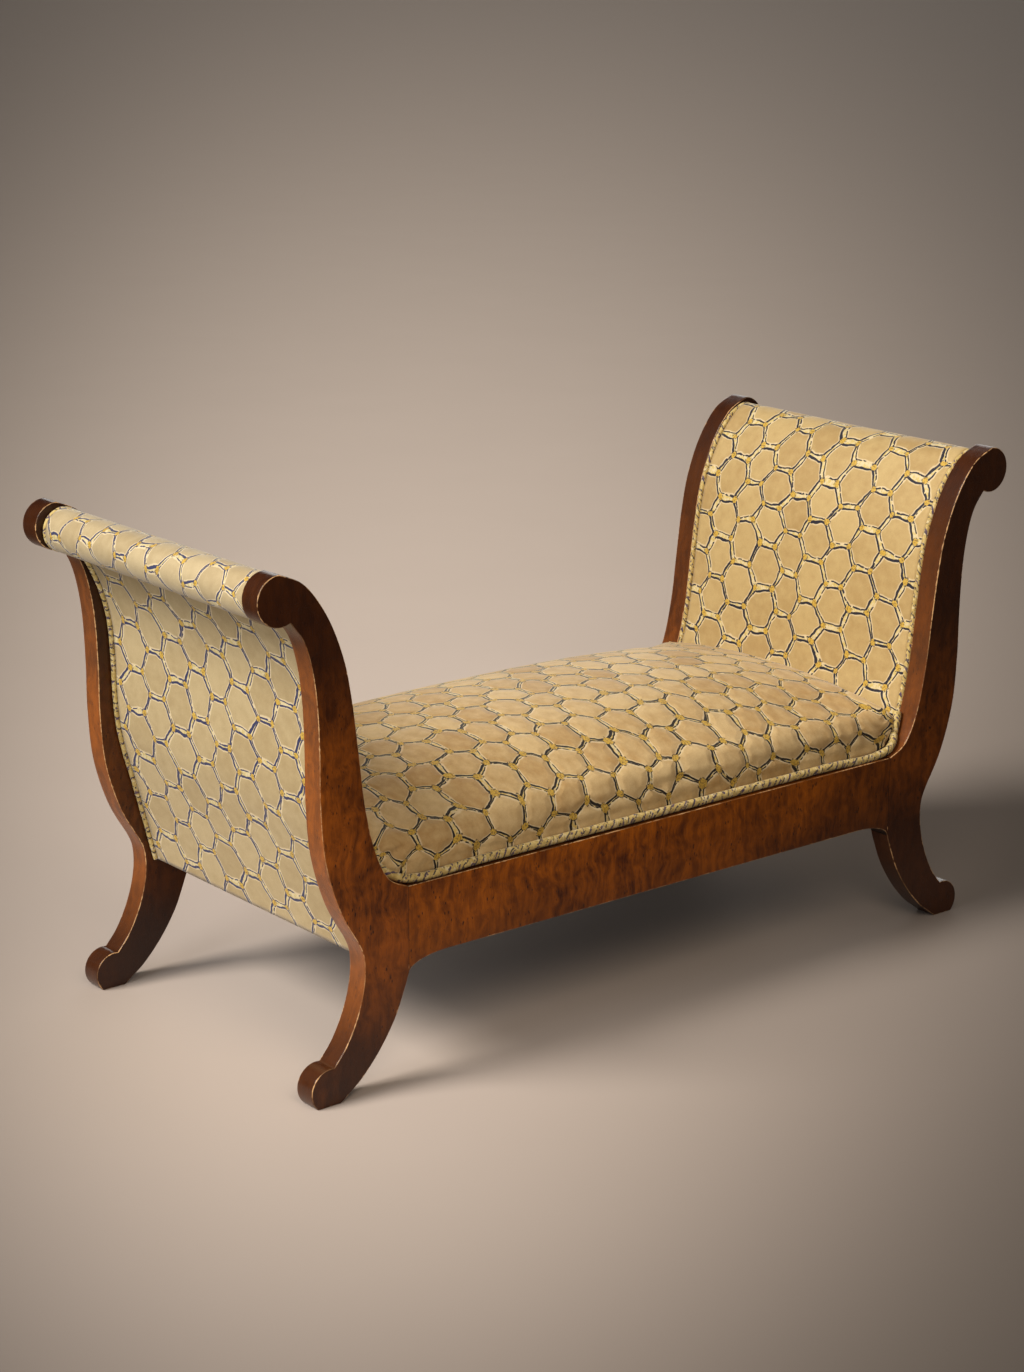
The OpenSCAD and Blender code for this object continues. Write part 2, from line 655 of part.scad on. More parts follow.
// Black cloth under the seat, with a hem turned up against each long rail
module dust_cover() {
    half_x = end_rail_x + end_rail_t - cloth_t;
    hem_x = end_rail_x - block_leg / 8;
    color(cover_colour) difference() {
        union() {
            translate([-half_x, -inner_y, end_rail_under - cloth_t])
                cube([2 * half_x, 2 * inner_y, cloth_t]);
            for (face = [FRONT, BACK]) at(RIGHT, face)
                translate([-hem_x, rail_in_y - cloth_t, end_rail_under - cloth_t])
                    cube([2 * hem_x, cloth_t, cover_hem_h]);
        }
        for (face = [FRONT, BACK]) at(RIGHT, face) cover_tack_row(2 * dowel_gap);
        for (side = [LEFT, RIGHT]) at(side) cover_end_tacks(2 * dowel_gap);
    }
}
// Tacks of the dust cover: a row into the back rail, and a row up into the right end rail
module cover_tack_row(gap) {
    for (i = [0 : cover_tacks_along - 1]) {
        x = blend(-seam_x, seam_x, (i + 0.5) / cover_tacks_along);
        z = end_rail_under + cover_hem_h / 2;
        rod_y(tack_d + gap, rail_in_y - cloth_t, rail_in_y - cloth_t + tack_l + gap, x, z);
        if (gap == 0) rod_y(tack_head_d, rail_in_y - cloth_t - tack_head_t, rail_in_y - cloth_t, x, z);
    }
}
module cover_end_tacks(gap) {
    for (i = [0 : cover_tacks_across - 1]) {
        y = blend(-inner_y, inner_y, (i + 0.5) / cover_tacks_across);
        low = end_rail_under - cloth_t;
        translate([end_rail_mid_x, y, low]) cylinder(d = tack_d + gap, h = tack_l + gap, $fn = 16);
        if (gap == 0) translate([end_rail_mid_x, y, low - tack_head_t])
            cylinder(d = tack_head_d, h = tack_head_t, $fn = 16);
    }
}
module dust_cover_tacks() {
    color(steel_colour) {
        for (face = [FRONT, BACK]) at(RIGHT, face) cover_tack_row(0);
        for (side = [LEFT, RIGHT]) at(side) cover_end_tacks(0);
    }
}

// Straps from batten to batten behind an inner pad
end_web_y = board_in_y - soft_gap;
module end_webbing(side) {
    strap = web_w / post_h;
    color(web_colour) at(side) xz_plate(-end_web_y, end_web_y)
        for (k = [0 : straps_in_end - 1]) {
            low = blend(batten_foot_share + strap / 4, web_head_share - strap * 1.1,
                k / (straps_in_end - 1));
            inner_strip(low, low + strap, web_out, web_out + web_t, 4);
        }
}
module end_hessian(side) {
    color(hessian_colour) at(side) xz_plate(-end_web_y, end_web_y)
        inner_strip(pad_foot_share, web_head_share, hessian_out, hessian_out + cloth_t, 28);
}

// The inner pad runs up the end to the roll, which goes on round the top rail to the crease under it
pad_set_back = end_piping_d / 5;
pad_steps = 14;
pad_rise = 6;
roll_start_angle = 125;
roll_end_angle = -120;
roll_steps = 14;
core_turn = (roll_start_angle - roll_end_angle) / roll_steps;
core_r = (top_rail_r + soft_gap) / cos(core_turn / 2);
pad_half_y = board_in_y - end_piping_d - 3 * soft_gap;
function direction(a) = [cos(a), sin(a)];
// Line beside the boards' edge, from the foot of the pad as far as the roll
function end_line(foot_set_back, set_back) = let (
        head = [for (p = inner_edge) if (p[1] > post_z(end_head_share + 0.01)
            && p[0] < roll_mid[0] - 0.92 * roll_r) p],
        count = len(head))
    concat(
        [for (k = [0 : pad_steps]) let (t = k / pad_steps)
            beside_inner(post_z(blend(pad_foot_share, end_head_share, t)),
                blend(foot_set_back, set_back, ease(pad_rise * t)))],
        [for (i = [1 : count]) beside_inner(head[i - 1][1], set_back * (1 + 1.5 * i / count))]);
function round_roll(r, end_angle) = arc(roll_mid, r, roll_start_angle, end_angle, roll_steps);

// Bulge of the pads: none along the boards and at the foot, most in the middle
function across(y) = pad_crown * (1 - pow(abs(y) / pad_half_y, 2.6));
function pad_bulge(t) = ease((t - 0.16) * 5) * (1 - 0.6 * ease((t - 0.7) * 3.3));
function roll_bulge(t) = 0.4 * (1 - ease((t - 0.55) * 2.5));
pad_line = end_line(0, pad_set_back);
pad_face = concat(pad_line, [roll_mid + roll_r * direction(roll_start_angle)]);
pad_away = concat([for (p = pad_line) -inner_out(p[1])], [direction(roll_start_angle)]);
pad_back = concat(inner_line(pad_foot_share, pad_back_head_share, pad_t, len(pad_face) - 3),
    arc(roll_mid, core_r, roll_start_angle + core_turn, roll_start_angle, 1));
function standing(line, y) = [for (p = line) [p[0], y, p[1]]];
function pad_front(y) = let (last = len(pad_face) - 1) standing(
    [for (i = [0 : last]) pad_face[i] + across(y) * pad_bulge(i / last) * pad_away[i]], y);
function roll_front(y) = standing([for (k = [0 : roll_steps]) let (t = k / roll_steps)
    roll_mid + (roll_r + across(y) * roll_bulge(t))
        * direction(blend(roll_start_angle, roll_end_angle, t))], y);
roll_core = round_roll(core_r, roll_end_angle);
pad_stations = [for (k = [-6 : 6]) pad_half_y * sin(15 * k)];
module inner_pad(side) {
    color(fabric_colour) at(side)
        band_loft([for (y = pad_stations) pad_front(y)], [for (y = pad_stations) standing(pad_back, y)]);
}
module roll(side) {
    color(fabric_colour) at(side)
        band_loft([for (y = pad_stations) roll_front(y)], [for (y = pad_stations) standing(roll_core, y)]);
}

// Outer panel, a stretched cover with its lining, from the crease down to the end rail
module outer_panel(side) {
    color(fabric_colour) at(side) xz_plate(-pad_half_y, pad_half_y)
        polygon(concat(panel_line, reversed(panel_back_line)));
}

// Piping round the foot of the seat, rising beside the boards at both ends
seat_piping_out = -seat_piping_d / 2 - 2 * soft_gap;
seat_piping_high_share = 0.122;
seat_piping_tuck = board_t * 0.36;
piping_end = [for (k = [0 : 10]) let (
        z = blend(rail_top + post_h / 150, post_z(seat_piping_high_share), k / 10),
        p = beside_inner(z, seat_piping_out))
    [p[0], seat_piping_y - seat_piping_tuck * pow(k / 10, 1.5), max(p[1], seat_base + seat_piping_d / 2)]];
module seat_piping(face) {
    low_z = seat_base + seat_piping_d / 2;
    first_x = piping_end[0][0] - seat_piping_d;
    straight = [for (k = [0 : 8]) [blend(-first_x, first_x, k / 8), seat_piping_y, low_z]];
    color(piping_colour) at(RIGHT, face)
        tube(concat([for (p = reversed(piping_end)) [-p[0], p[1], p[2]]], straight, piping_end),
            seat_piping_d);
}

// Piping between a board and the inner pad, round the end of the roll to the crease
end_piping_y = board_in_y - end_piping_d / 2 - soft_gap;
module inner_piping(side, face) {
    foot_set_back = end_piping_d * 0.7;
    ring_r = roll_r - end_piping_d * 0.4;
    path = concat(end_line(foot_set_back, pad_set_back), round_roll(ring_r, roll_end_angle + 10));
    color(piping_colour) at(side, face)
        tube([for (p = path) [p[0], end_piping_y, p[1]]], end_piping_d);
}
// Piping between a board and the outer panel
module outer_piping(side, face) {
    path = shifted(part_of(panel_line, 0, 3), end_piping_d / 2 - panel_t);
    color(piping_colour) at(side, face)
        tube([for (p = path) [p[0], end_piping_y, p[1]]], end_piping_d);
}

side_board(LEFT, FRONT);  // front_left_board
side_board(RIGHT, FRONT);  // front_right_board
side_board(LEFT, BACK);  // back_left_board
side_board(RIGHT, BACK);  // back_right_board
long_rail(FRONT);  // front_rail
long_rail(BACK);  // back_rail
end_rail(LEFT);  // left_end_rail
end_rail(RIGHT);  // right_end_rail
tack_rail(LEFT);  // left_tack_rail
tack_rail(RIGHT);  // right_tack_rail
top_rail(LEFT);  // left_top_rail
top_rail(RIGHT);  // right_top_rail
middle_stretcher();
corner_block(LEFT, FRONT);  // front_left_corner_block
corner_block(RIGHT, FRONT);  // front_right_corner_block
corner_block(LEFT, BACK);  // back_left_corner_block
corner_block(RIGHT, BACK);  // back_right_corner_block
batten(LEFT, FRONT);  // front_left_batten
batten(RIGHT, FRONT);  // front_right_batten
batten(LEFT, BACK);  // back_left_batten
batten(RIGHT, BACK);  // back_right_batten
rail_dowels();
end_rail_dowels();
tack_rail_dowels();
top_rail_dowels();
stretcher_dowels();
corner_block_screws();
batten_screws();
seat_cross_webbing();
seat_long_webbing();
webbing_tacks();
seat_hessian();
seat_stuffing();
seat_cushion();
dust_cover();
dust_cover_tacks();
end_webbing(LEFT);  // left_end_webbing
end_webbing(RIGHT);  // right_end_webbing
end_hessian(LEFT);  // left_end_hessian
end_hessian(RIGHT);  // right_end_hessian
inner_pad(LEFT);  // left_inner_pad
inner_pad(RIGHT);  // right_inner_pad
roll(LEFT);  // left_roll
roll(RIGHT);  // right_roll
outer_panel(LEFT);  // left_outer_panel
outer_panel(RIGHT);  // right_outer_panel
seat_piping(FRONT);  // front_seat_piping
seat_piping(BACK);  // back_seat_piping
inner_piping(LEFT, FRONT);  // front_left_inner_piping
inner_piping(RIGHT, FRONT);  // front_right_inner_piping
inner_piping(LEFT, BACK);  // back_left_inner_piping
inner_piping(RIGHT, BACK);  // back_right_inner_piping
outer_piping(LEFT, FRONT);  // front_left_outer_piping
outer_piping(RIGHT, FRONT);  // front_right_outer_piping
outer_piping(LEFT, BACK);  // back_left_outer_piping
outer_piping(RIGHT, BACK);  // back_right_outer_piping
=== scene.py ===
import math

import bmesh
import bpy
import numpy as np
from mathutils import Matrix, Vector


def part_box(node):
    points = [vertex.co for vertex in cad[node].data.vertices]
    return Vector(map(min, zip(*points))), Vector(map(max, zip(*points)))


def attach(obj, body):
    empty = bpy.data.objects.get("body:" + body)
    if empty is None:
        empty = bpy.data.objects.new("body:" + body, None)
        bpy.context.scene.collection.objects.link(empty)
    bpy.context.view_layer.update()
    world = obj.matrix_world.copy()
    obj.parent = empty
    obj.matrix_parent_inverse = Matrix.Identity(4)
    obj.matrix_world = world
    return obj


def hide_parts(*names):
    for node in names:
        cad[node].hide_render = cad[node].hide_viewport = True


# Recamier with two scrolled ends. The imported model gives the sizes, in metres:
# X runs along the seat, the front is towards -Y and the feet stand on Z = 0.
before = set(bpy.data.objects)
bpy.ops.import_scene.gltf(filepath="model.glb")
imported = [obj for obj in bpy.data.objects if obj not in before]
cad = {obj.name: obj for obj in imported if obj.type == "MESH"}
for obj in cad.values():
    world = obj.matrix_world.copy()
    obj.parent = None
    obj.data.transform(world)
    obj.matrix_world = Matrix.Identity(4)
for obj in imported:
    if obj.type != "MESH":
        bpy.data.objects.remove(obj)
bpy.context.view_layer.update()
scene = bpy.context.scene

# Camera. It stands before the left end, about as high as a person's chest and shoulders,
# and looks down along the seat through a long lens.
camera_place = (-3.155, -3.815, 1.907)
camera_heading = math.radians(39.097)
camera_dip = math.radians(16.039)
camera_roll = math.radians(0.198)
camera = bpy.data.objects.new("camera", bpy.data.cameras.new("camera"))
camera.data.sensor_fit = "HORIZONTAL"
camera.data.sensor_width = 36
camera.data.lens = 101.9
camera.data.shift_x = -0.0012
camera.data.shift_y = 0.0042
camera.data.clip_end = 500
camera.matrix_world = (
    Matrix.Translation(camera_place)
    @ Matrix.Rotation(-camera_heading, 4, "Z")
    @ Matrix.Rotation(math.pi / 2 - camera_dip, 4, "X")
    @ Matrix.Rotation(camera_roll, 4, "Z")
)
scene.collection.objects.link(camera)
scene.camera = camera

# Studio floor. Warm grey paper that runs on to the horizon, with a painted pool of light:
# palest behind the left end and darker towards the far right, as a single soft lamp would light it.
# The pool sizes say, in the camera's view, where the middle of that painted light is and how far it reaches.
floor_half = 220
floor_painted_lit = (211, 197, 187)
floor_painted_shade = (64, 59, 55)
floor_beyond = (86, 80, 74)
floor_fleck = (120, 108, 98)
pool_dip = 0.2895
pool_aside = 0.0470
pool_lean = 0.0897
pool_left, pool_right = 0.186, 0.221
pool_far, pool_near = 0.210, 0.266
pool_fall = 1.24


class Value:
    """One output of a node. A sum or product of it is a Math node in the same tree."""

    def __init__(self, socket):
        self.socket = socket
        self.tree = socket.id_data

    def __add__(self, other):
        return reckon("ADD", self, other)

    def __sub__(self, other):
        return reckon("SUBTRACT", self, other)

    def __rsub__(self, other):
        return reckon("SUBTRACT", other, self)

    def __mul__(self, other):
        return reckon("MULTIPLY", self, other)

    def __truediv__(self, other):
        return reckon("DIVIDE", self, other)

    def __rtruediv__(self, other):
        return reckon("DIVIDE", other, self)

    def __abs__(self):
        return reckon("ABSOLUTE", self)


def linear(seen):
    """A colour as the eye sees it, 0 to 255, in the linear light of a shader."""
    return [((c / 255 + 0.055) / 1.055) ** 2.4 for c in seen]


def feed(socket, value):
    """Links a value to a socket, or sets the socket to a plain number, place or seen colour."""
    if isinstance(value, Value):
        socket.id_data.links.new(value.socket, socket)
    elif socket.type == "RGBA":
        socket.default_value = (*linear(value), 1)
    else:
        socket.default_value = value


def add_node(tree, kind, inputs=(), **settings):
    """A node with its settings and inputs, each input named by its label or its number."""
    made = tree.nodes.new(kind)
    for name, value in settings.items():
        setattr(made, name, value)
    for socket, value in dict(inputs).items():
        feed(made.inputs[socket], value)
    return made


def worked(tree, kind, inputs=(), output=0, **settings):
    """What a new node gives out."""
    return Value(add_node(tree, kind, inputs, **settings).outputs[output])


def reckon(operation, *values, kind="ShaderNodeMath"):
    tree = next(value.tree for value in values if isinstance(value, Value))
    return worked(tree, kind, enumerate(values), operation=operation)


def parts_of(place):
    """The three numbers of a place."""
    return [Value(out) for out in add_node(place.tree, "ShaderNodeSeparateXYZ", {0: place}).outputs]


def cloudy(place, scale, detail=2.0, rough=0.5, output="Fac"):
    """Soft noise, about 0.5 on average."""
    return worked(place.tree, "ShaderNodeTexNoise",
                  {"Vector": place, "Scale": scale, "Detail": detail, "Roughness": rough}, output)


def rise(value, low, high, out_low=0.0, out_high=1.0):
    """Goes smoothly from one value to the other as its input goes from low to high."""
    return worked(value.tree, "ShaderNodeMapRange",
                  {"Value": value, "From Min": low, "From Max": high, "To Min": out_low, "To Max": out_high},
                  "Result", interpolation_type="SMOOTHSTEP")


def tint(share, first, second):
    """Mixes the second colour into the first."""
    return worked(share.tree, "ShaderNodeMix", {0: share, 6: first, 7: second}, 2, data_type="RGBA")


def new_material(name, **finish):
    """A material and its Principled shader, with plain finish values set on its own sockets."""
    made = bpy.data.materials.new(name)
    made.use_nodes = True
    shader = made.node_tree.nodes["Principled BSDF"]
    for socket, value in finish.items():
        shader.inputs[socket.replace("_", " ")].default_value = value
    return made, shader


def object_place(tree):
    return worked(tree, "ShaderNodeTexCoord", output="Object")


def new_piece(name, points, faces, material):
    """A mesh piece with smooth faces, in its place."""
    mesh = bpy.data.meshes.new(name)
    mesh.from_pydata([tuple(p) for p in points], [], faces)
    mesh.polygons.foreach_set("use_smooth", [True] * len(mesh.polygons))
    mesh.materials.append(material)
    piece = bpy.data.objects.new(name, mesh)
    scene.collection.objects.link(piece)
    return piece


paper, shader = new_material("studio paper with painted light pool", Roughness=0.9, Specular_IOR_Level=0.15)
tree = shader.id_data
under_camera = worked(tree, "ShaderNodeMapping",
                      {"Vector": object_place(tree), "Location": (*camera_place[:2], 0),
                       "Rotation": (0, 0, -camera_heading)}, vector_type="TEXTURE")
aside, ahead, _ = parts_of(under_camera)
ahead = reckon("MAXIMUM", ahead, 0.5)
nearer = camera_place[2] / ahead - pool_dip
off_side = aside / ahead + pool_aside + nearer * pool_lean
off_side = off_side / rise(reckon("GREATER_THAN", off_side, 0.0), 0.0, 1.0, pool_left, pool_right)
off_height = nearer / rise(reckon("GREATER_THAN", nearer, 0.0), 0.0, 1.0, pool_far, pool_near)
far_off = off_side * off_side + off_height * off_height
# Painted light: across the pool the paper goes from the painted shade colour to the painted lit colour, and
# further out to the far colour.
lit_share = reckon("POWER", 2.718, reckon("POWER", far_off, pool_fall) * -1.0)
painted_pool_colour = tint(lit_share, floor_painted_shade, floor_painted_lit)
painted_pool_colour = tint(rise(far_off, 3.0, 9.0), painted_pool_colour, floor_beyond)
feed(shader.inputs["Base Color"],
     tint(cloudy(object_place(tree), 2.5, 4) * 0.06, painted_pool_colour, floor_fleck))
floor_corners = [(x * floor_half, y * floor_half, 0) for x, y in ((-1, -1), (1, -1), (1, 1), (-1, 1))]
floor = new_piece("studio_floor", floor_corners, [(0, 1, 2, 3)], paper)

# Lamps. One large soft lamp on the left, weaker ones behind, in front and above, a panel
# before the seat, and a long one beside the left end that gives the polish its pale bands.
sky_level = 0.03
suns = (
    ("left_sun", 3.1, 24, (-0.70, 0.20, 0.70), (255, 247, 236)),
    ("back_sun", 0.6, 40, (0.72, 0.64, 0.27), (250, 248, 244)),
    ("front_sun", 0.18, 60, (0.30, -0.60, 0.80), (255, 240, 222)),
    ("top_sun", 0.15, 120, (-0.3, -0.1, 0.95), (252, 246, 240)),
)
panels = (
    ("front_panel", (1.5, 1.5), (-1.2, -2.3, 2.5), -28, 50, (255, 238, 218)),
    ("left_panel", (1.2, 2.0), (-3.0, -0.4, 1.5), -90, 72, (255, 255, 255)),
)
panel_energy = 34


def new_lamp(name, kind, energy, lamp_colour, stand):
    lamp = bpy.data.objects.new(name, bpy.data.lights.new(name, kind))
    lamp.data.energy = energy
    lamp.data.color = linear(lamp_colour)
    lamp.matrix_world = stand
    scene.collection.objects.link(lamp)
    return lamp.data


for name, strength, spread, towards, lamp_colour in suns:
    way = np.array(towards) / np.linalg.norm(towards)
    level = np.cross([0, 0, 1], way)
    level /= np.linalg.norm(level)
    turn = Matrix(np.c_[level, np.cross(way, level), way].tolist()).to_4x4()
    new_lamp(name, "SUN", strength, lamp_colour, turn).angle = math.radians(spread)
for name, size, stands_at, heading, dip, lamp_colour in panels:
    stand = (Matrix.Translation(stands_at) @ Matrix.Rotation(math.radians(heading), 4, "Z")
             @ Matrix.Rotation(math.radians(dip), 4, "X"))
    panel = new_lamp(name, "AREA", panel_energy, lamp_colour, stand)
    panel.shape = "RECTANGLE"
    panel.size, panel.size_y = size
world = bpy.data.worlds.new("studio air")
world.use_nodes = True
sky = world.node_tree.nodes["Background"].inputs
feed(sky["Color"], (250, 244, 238))
feed(sky["Strength"], sky_level)
scene.world = world
scene.view_settings.view_transform = "Standard"

# Side boards and long rails. Each board is post, scroll and sabre leg in one, cut from
# thick walnut and faced with figured veneer; the rails are dowelled between them.
# All are polished, and their edges are rubbed pale.
edge_round = 0.0015
rub_width = 0.003
outline_step = 0.0035
longest_step = 0.02
sharp_turn = math.radians(20)
joint_gap = 0.0001
joint_line = 0.0007
# Dark colour for the wood's darker tone and for its painted shade.
wood_dark_and_shade = (44, 19, 7)
wood_rub = (222, 176, 124)
joint_dirt = (26, 12, 6)


def outline_of(piece, level):
    """The outline of a piece's flat side at Y = level, as X and Z in order."""
    shape = bmesh.new()
    shape.from_mesh(piece.data)
    bmesh.ops.remove_doubles(shape, verts=shape.verts, dist=1e-5)
    side = {f for f in shape.faces if all(abs(v.co.y - level) < 1e-5 for v in f.verts)}
    rim = [e for e in shape.edges if sum(f in side for f in e.link_faces) == 1]
    joined = {}
    for edge in rim:
        for vert in edge.verts:
            joined.setdefault(vert, []).append(edge.other_vert(vert))
    first = rim[0].verts[0]
    line = [first, joined[first][0]]
    while len(line) < len(joined):
        line.append(next(v for v in joined[line[-1]] if v is not line[-2]))
    points = np.array([(v.co.x, v.co.z) for v in line])
    shape.free()
    after = np.roll(points, -1, axis=0)
    pieces = np.ceil(np.linalg.norm(after - points, axis=1) / longest_step).astype(int)
    points = np.concatenate([np.linspace(a, b, n, endpoint=False) for a, b, n in zip(points, after, pieces)])
    after = np.roll(points, -1, axis=0)
    area = np.sum(points[:, 0] * after[:, 1] - after[:, 0] * points[:, 1])
    return points if area > 0 else points[::-1]


def length_along(line):
    return np.r_[0, np.cumsum(np.linalg.norm(np.diff(line, axis=0), axis=1))]


def evenly(line, step):
    """The same line with even steps, curved smoothly through its points."""
    run = length_along(line)
    slope = np.gradient(line, run, axis=0)
    place = np.linspace(0, run[-1], max(int(round(run[-1] / step)), 1) + 1)
    low = np.clip(np.searchsorted(run, place, side="right") - 1, 0, len(line) - 2)
    gap = (run[low + 1] - run[low])[:, None]
    t = (place - run[low])[:, None] / gap
    return ((2 * t**3 - 3 * t**2 + 1) * line[low] + (t**3 - 2 * t**2 + t) * gap * slope[low]
            + (3 * t**2 - 2 * t**3) * line[low + 1] + (t**3 - t**2) * gap * slope[low + 1])


def runs_of(outline):
    """The outline's smooth stretches, from sharp corner to sharp corner."""
    ahead = np.roll(outline, -1, axis=0) - outline
    heading = np.arctan2(ahead[:, 1], ahead[:, 0])
    turn = np.abs((heading - np.roll(heading, 1) + math.pi) % (2 * math.pi) - math.pi)
    corners = np.flatnonzero(turn > sharp_turn)
    closed = np.r_[outline, outline]
    ends = np.r_[corners[1:], corners[0] + len(outline)]
    return [closed[a:b + 1] for a, b in zip(corners, ends)]


def inset(outline, by):
    """The outline moved inwards by a small distance."""
    along = np.roll(outline, -1, axis=0) - outline
    along /= np.linalg.norm(along, axis=1)[:, None]
    inward = np.c_[-along[:, 1], along[:, 0]]
    before = np.roll(inward, 1, axis=0)
    share = np.maximum(1 + np.sum(inward * before, axis=1), 0.35)[:, None]
    return outline + by * (inward + before) / share


def rounded_ring(outline, by):
    """The outline moved inwards, but not where rail and post are jointed flush."""
    moved = inset(outline, by)
    jointed = np.abs(np.abs(outline[:, 0]) - joint_x) < joint_gap
    moved[jointed, 0] = outline[jointed, 0]
    if np.abs(outline[:, 0]).max() < joint_x + joint_gap:
        moved[:, 0] = np.clip(moved[:, 0], -joint_x, joint_x)
    return moved


def shaped_board(name, low_y, high_y, material, grain_start):
    """A board with its CAD node's outline, rounded edges and the grain laid out flat."""
    node = cad[name]
    face = high_y if high_y > 0 else low_y
    runs = [evenly(run, outline_step) for run in runs_of(outline_of(node, face))]
    outline = np.concatenate([run[:-1] if len(run) < 4 else np.r_[run[:1], run[2:-2]] for run in runs])
    edge = [(edge_round * (1 - math.sin(a)), edge_round * (1 - math.cos(a)), rub)
            for a, rub in zip(np.radians([0, 30, 60, 90]), (0.5, 1, 1, 0.5))]
    edge = [(edge_round + rub_width, 0, 0), *edge, (0, edge_round + rub_width, 0)]
    rings = [(by, low_y + deep, rub, high_y > 0) for by, deep, rub in edge]
    rings += [(by, high_y - deep, rub, high_y < 0) for by, deep, rub in reversed(edge)]
    count = len(outline)
    points, rubbed, flank, inside = [], [], [], []
    for by, y, rub, inner_side in rings:
        points += [(x, y, z) for x, z in rounded_ring(outline, by)]
        rubbed += [rub] * count
        flank += [max(1 - by / edge_round, 0)] * count
        inside += [float(inner_side and by > 0.6 * edge_round)] * count
    faces = [tuple(range(count))]
    flat = [(points[i][0], points[i][2]) for i in range(count)]
    run = np.r_[length_along(outline), 0]
    run[-1] = run[-2] + np.linalg.norm(outline[0] - outline[-1])
    last = len(rings) - 1
    for ring in range(last):
        on_face = ring < 2 or ring > last - 3
        for i in range(count):
            j = (i + 1) % count
            corners = [at * count + k for at, k in ((ring, i), (ring + 1, i), (ring + 1, j), (ring, j))]
            faces.append(tuple(corners))
            if on_face:
                flat += [(points[c][0], points[c][2]) for c in corners]
            else:
                flat += [(points[c][1], run[k]) for c, k in zip(corners, (i, i, i + 1, i + 1))]
    top = last * count
    faces.append(tuple(range(top + count - 1, top - 1, -1)))
    flat += [(points[c][0], points[c][2]) for c in faces[-1]]
    piece = new_piece(name + "_polished", points, faces, material)
    for cap in (piece.data.polygons[0], piece.data.polygons[-1]):
        cap.use_smooth = False
    grain = piece.data.uv_layers.new(name="grain")
    grain.data.foreach_set("uv", (np.array(flat) + np.array(grain_start)).ravel())
    for mark, values in (("rub", rubbed), ("flank", flank), ("inside", inside)):
        piece.data.attributes.new(mark, "FLOAT", "POINT").data.foreach_set("value", values)
    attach(piece, "root")
    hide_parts(name)


def open_group(name, takes, gives):
    """A shader node group with its inputs and outputs, ready to be filled."""
    tree = bpy.data.node_groups.new(name, "ShaderNodeTree")
    for way, sockets in (("INPUT", takes), ("OUTPUT", gives)):
        for socket, kind in sockets.items():
            tree.interface.new_socket(socket, in_out=way, socket_type="NodeSocket" + kind)
    taken = add_node(tree, "NodeGroupInput").outputs
    return tree, {socket: Value(taken[socket]) for socket in takes}, add_node(tree, "NodeGroupOutput").inputs


def place_group(tree, group, **values):
    """What the group gives out as one node of a material, with its own values."""
    made = add_node(tree, "ShaderNodeGroup", node_tree=group)
    for name, value in values.items():
        feed(made.inputs[name.replace("_", " ")], value)
    return {socket.name: Value(socket) for socket in made.outputs}


def stretched(place, scale):
    """The place with each of its three directions multiplied by its own number."""
    return reckon("MULTIPLY", place, scale, kind="ShaderNodeVectorMath")


def shifted(place, by):
    """The place moved by a vector."""
    return reckon("ADD", place, by, kind="ShaderNodeVectorMath")


# The wood's look: broad clouds, a mottled figure across the grain, fine dark pores and
# black specks. The place's Z runs with the grain.
wood_look, taken, given = open_group(
    "wood grain",
    {"Place": "Vector", "Light": "Color", "Dark": "Color", "Figure": "Float", "Pores": "Float"},
    {"Color": "Color", "Height": "Float", "Gloss": "Float"})
clouds = cloudy(taken["Place"], 6.0, 2)
bent = shifted(taken["Place"], (cloudy(taken["Place"], 14.0, 2) - 0.5) * 0.05)
streaks = cloudy(stretched(bent, (70, 40, 13)), 1.0, 3, 0.6)
blotches = cloudy(stretched(bent, (60, 40, 45)), 1.0, 2)
fine_lines = cloudy(stretched(bent, (520, 300, 9)), 1.0, 3, 0.6)
pores = cloudy(stretched(bent, (1500, 900, 70)), 1.0, 1)
figure_share = rise(streaks * 0.62 + blotches * 0.38, 0.32, 0.70)
tone = rise(clouds, 0.3, 0.72) * 0.45 + figure_share * taken["Figure"] * 0.70 + (fine_lines - 0.5) * 0.5
pore_share = rise(pores, 0.60, 0.74) * taken["Pores"]
speck = worked(wood_look, "ShaderNodeTexVoronoi",
               {"Vector": stretched(taken["Place"], (1, 1, 0.45)), "Scale": 160}, "Distance")
speck_share = rise(speck, 0.27, 0.15) * rise(cloudy(taken["Place"], 38.0, 1), 0.50, 0.60)
wood_colour = tint(tone, taken["Dark"], taken["Light"])
wood_colour = tint(pore_share * 0.55, wood_colour, (48, 24, 14))
wood_colour = tint(speck_share * 0.8, wood_colour, (30, 16, 12))
feed(given["Color"], wood_colour)
feed(given["Height"], fine_lines * 0.35 - (pore_share + speck_share))
feed(given["Gloss"], rise(clouds + pore_share, 0.25, 1.1, 0.30, 0.52))


def coat(shader, base, rough, height, depth):
    """Gives a shader its colour, its roughness and bumps of a height from 0 to 1, of that depth."""
    feed(shader.inputs["Base Color"], base)
    if rough:
        feed(shader.inputs["Roughness"], rough)
    bump = add_node(shader.id_data, "ShaderNodeBump", {"Distance": depth, "Height": height})
    feed(shader.inputs["Normal"], Value(bump.outputs["Normal"]))


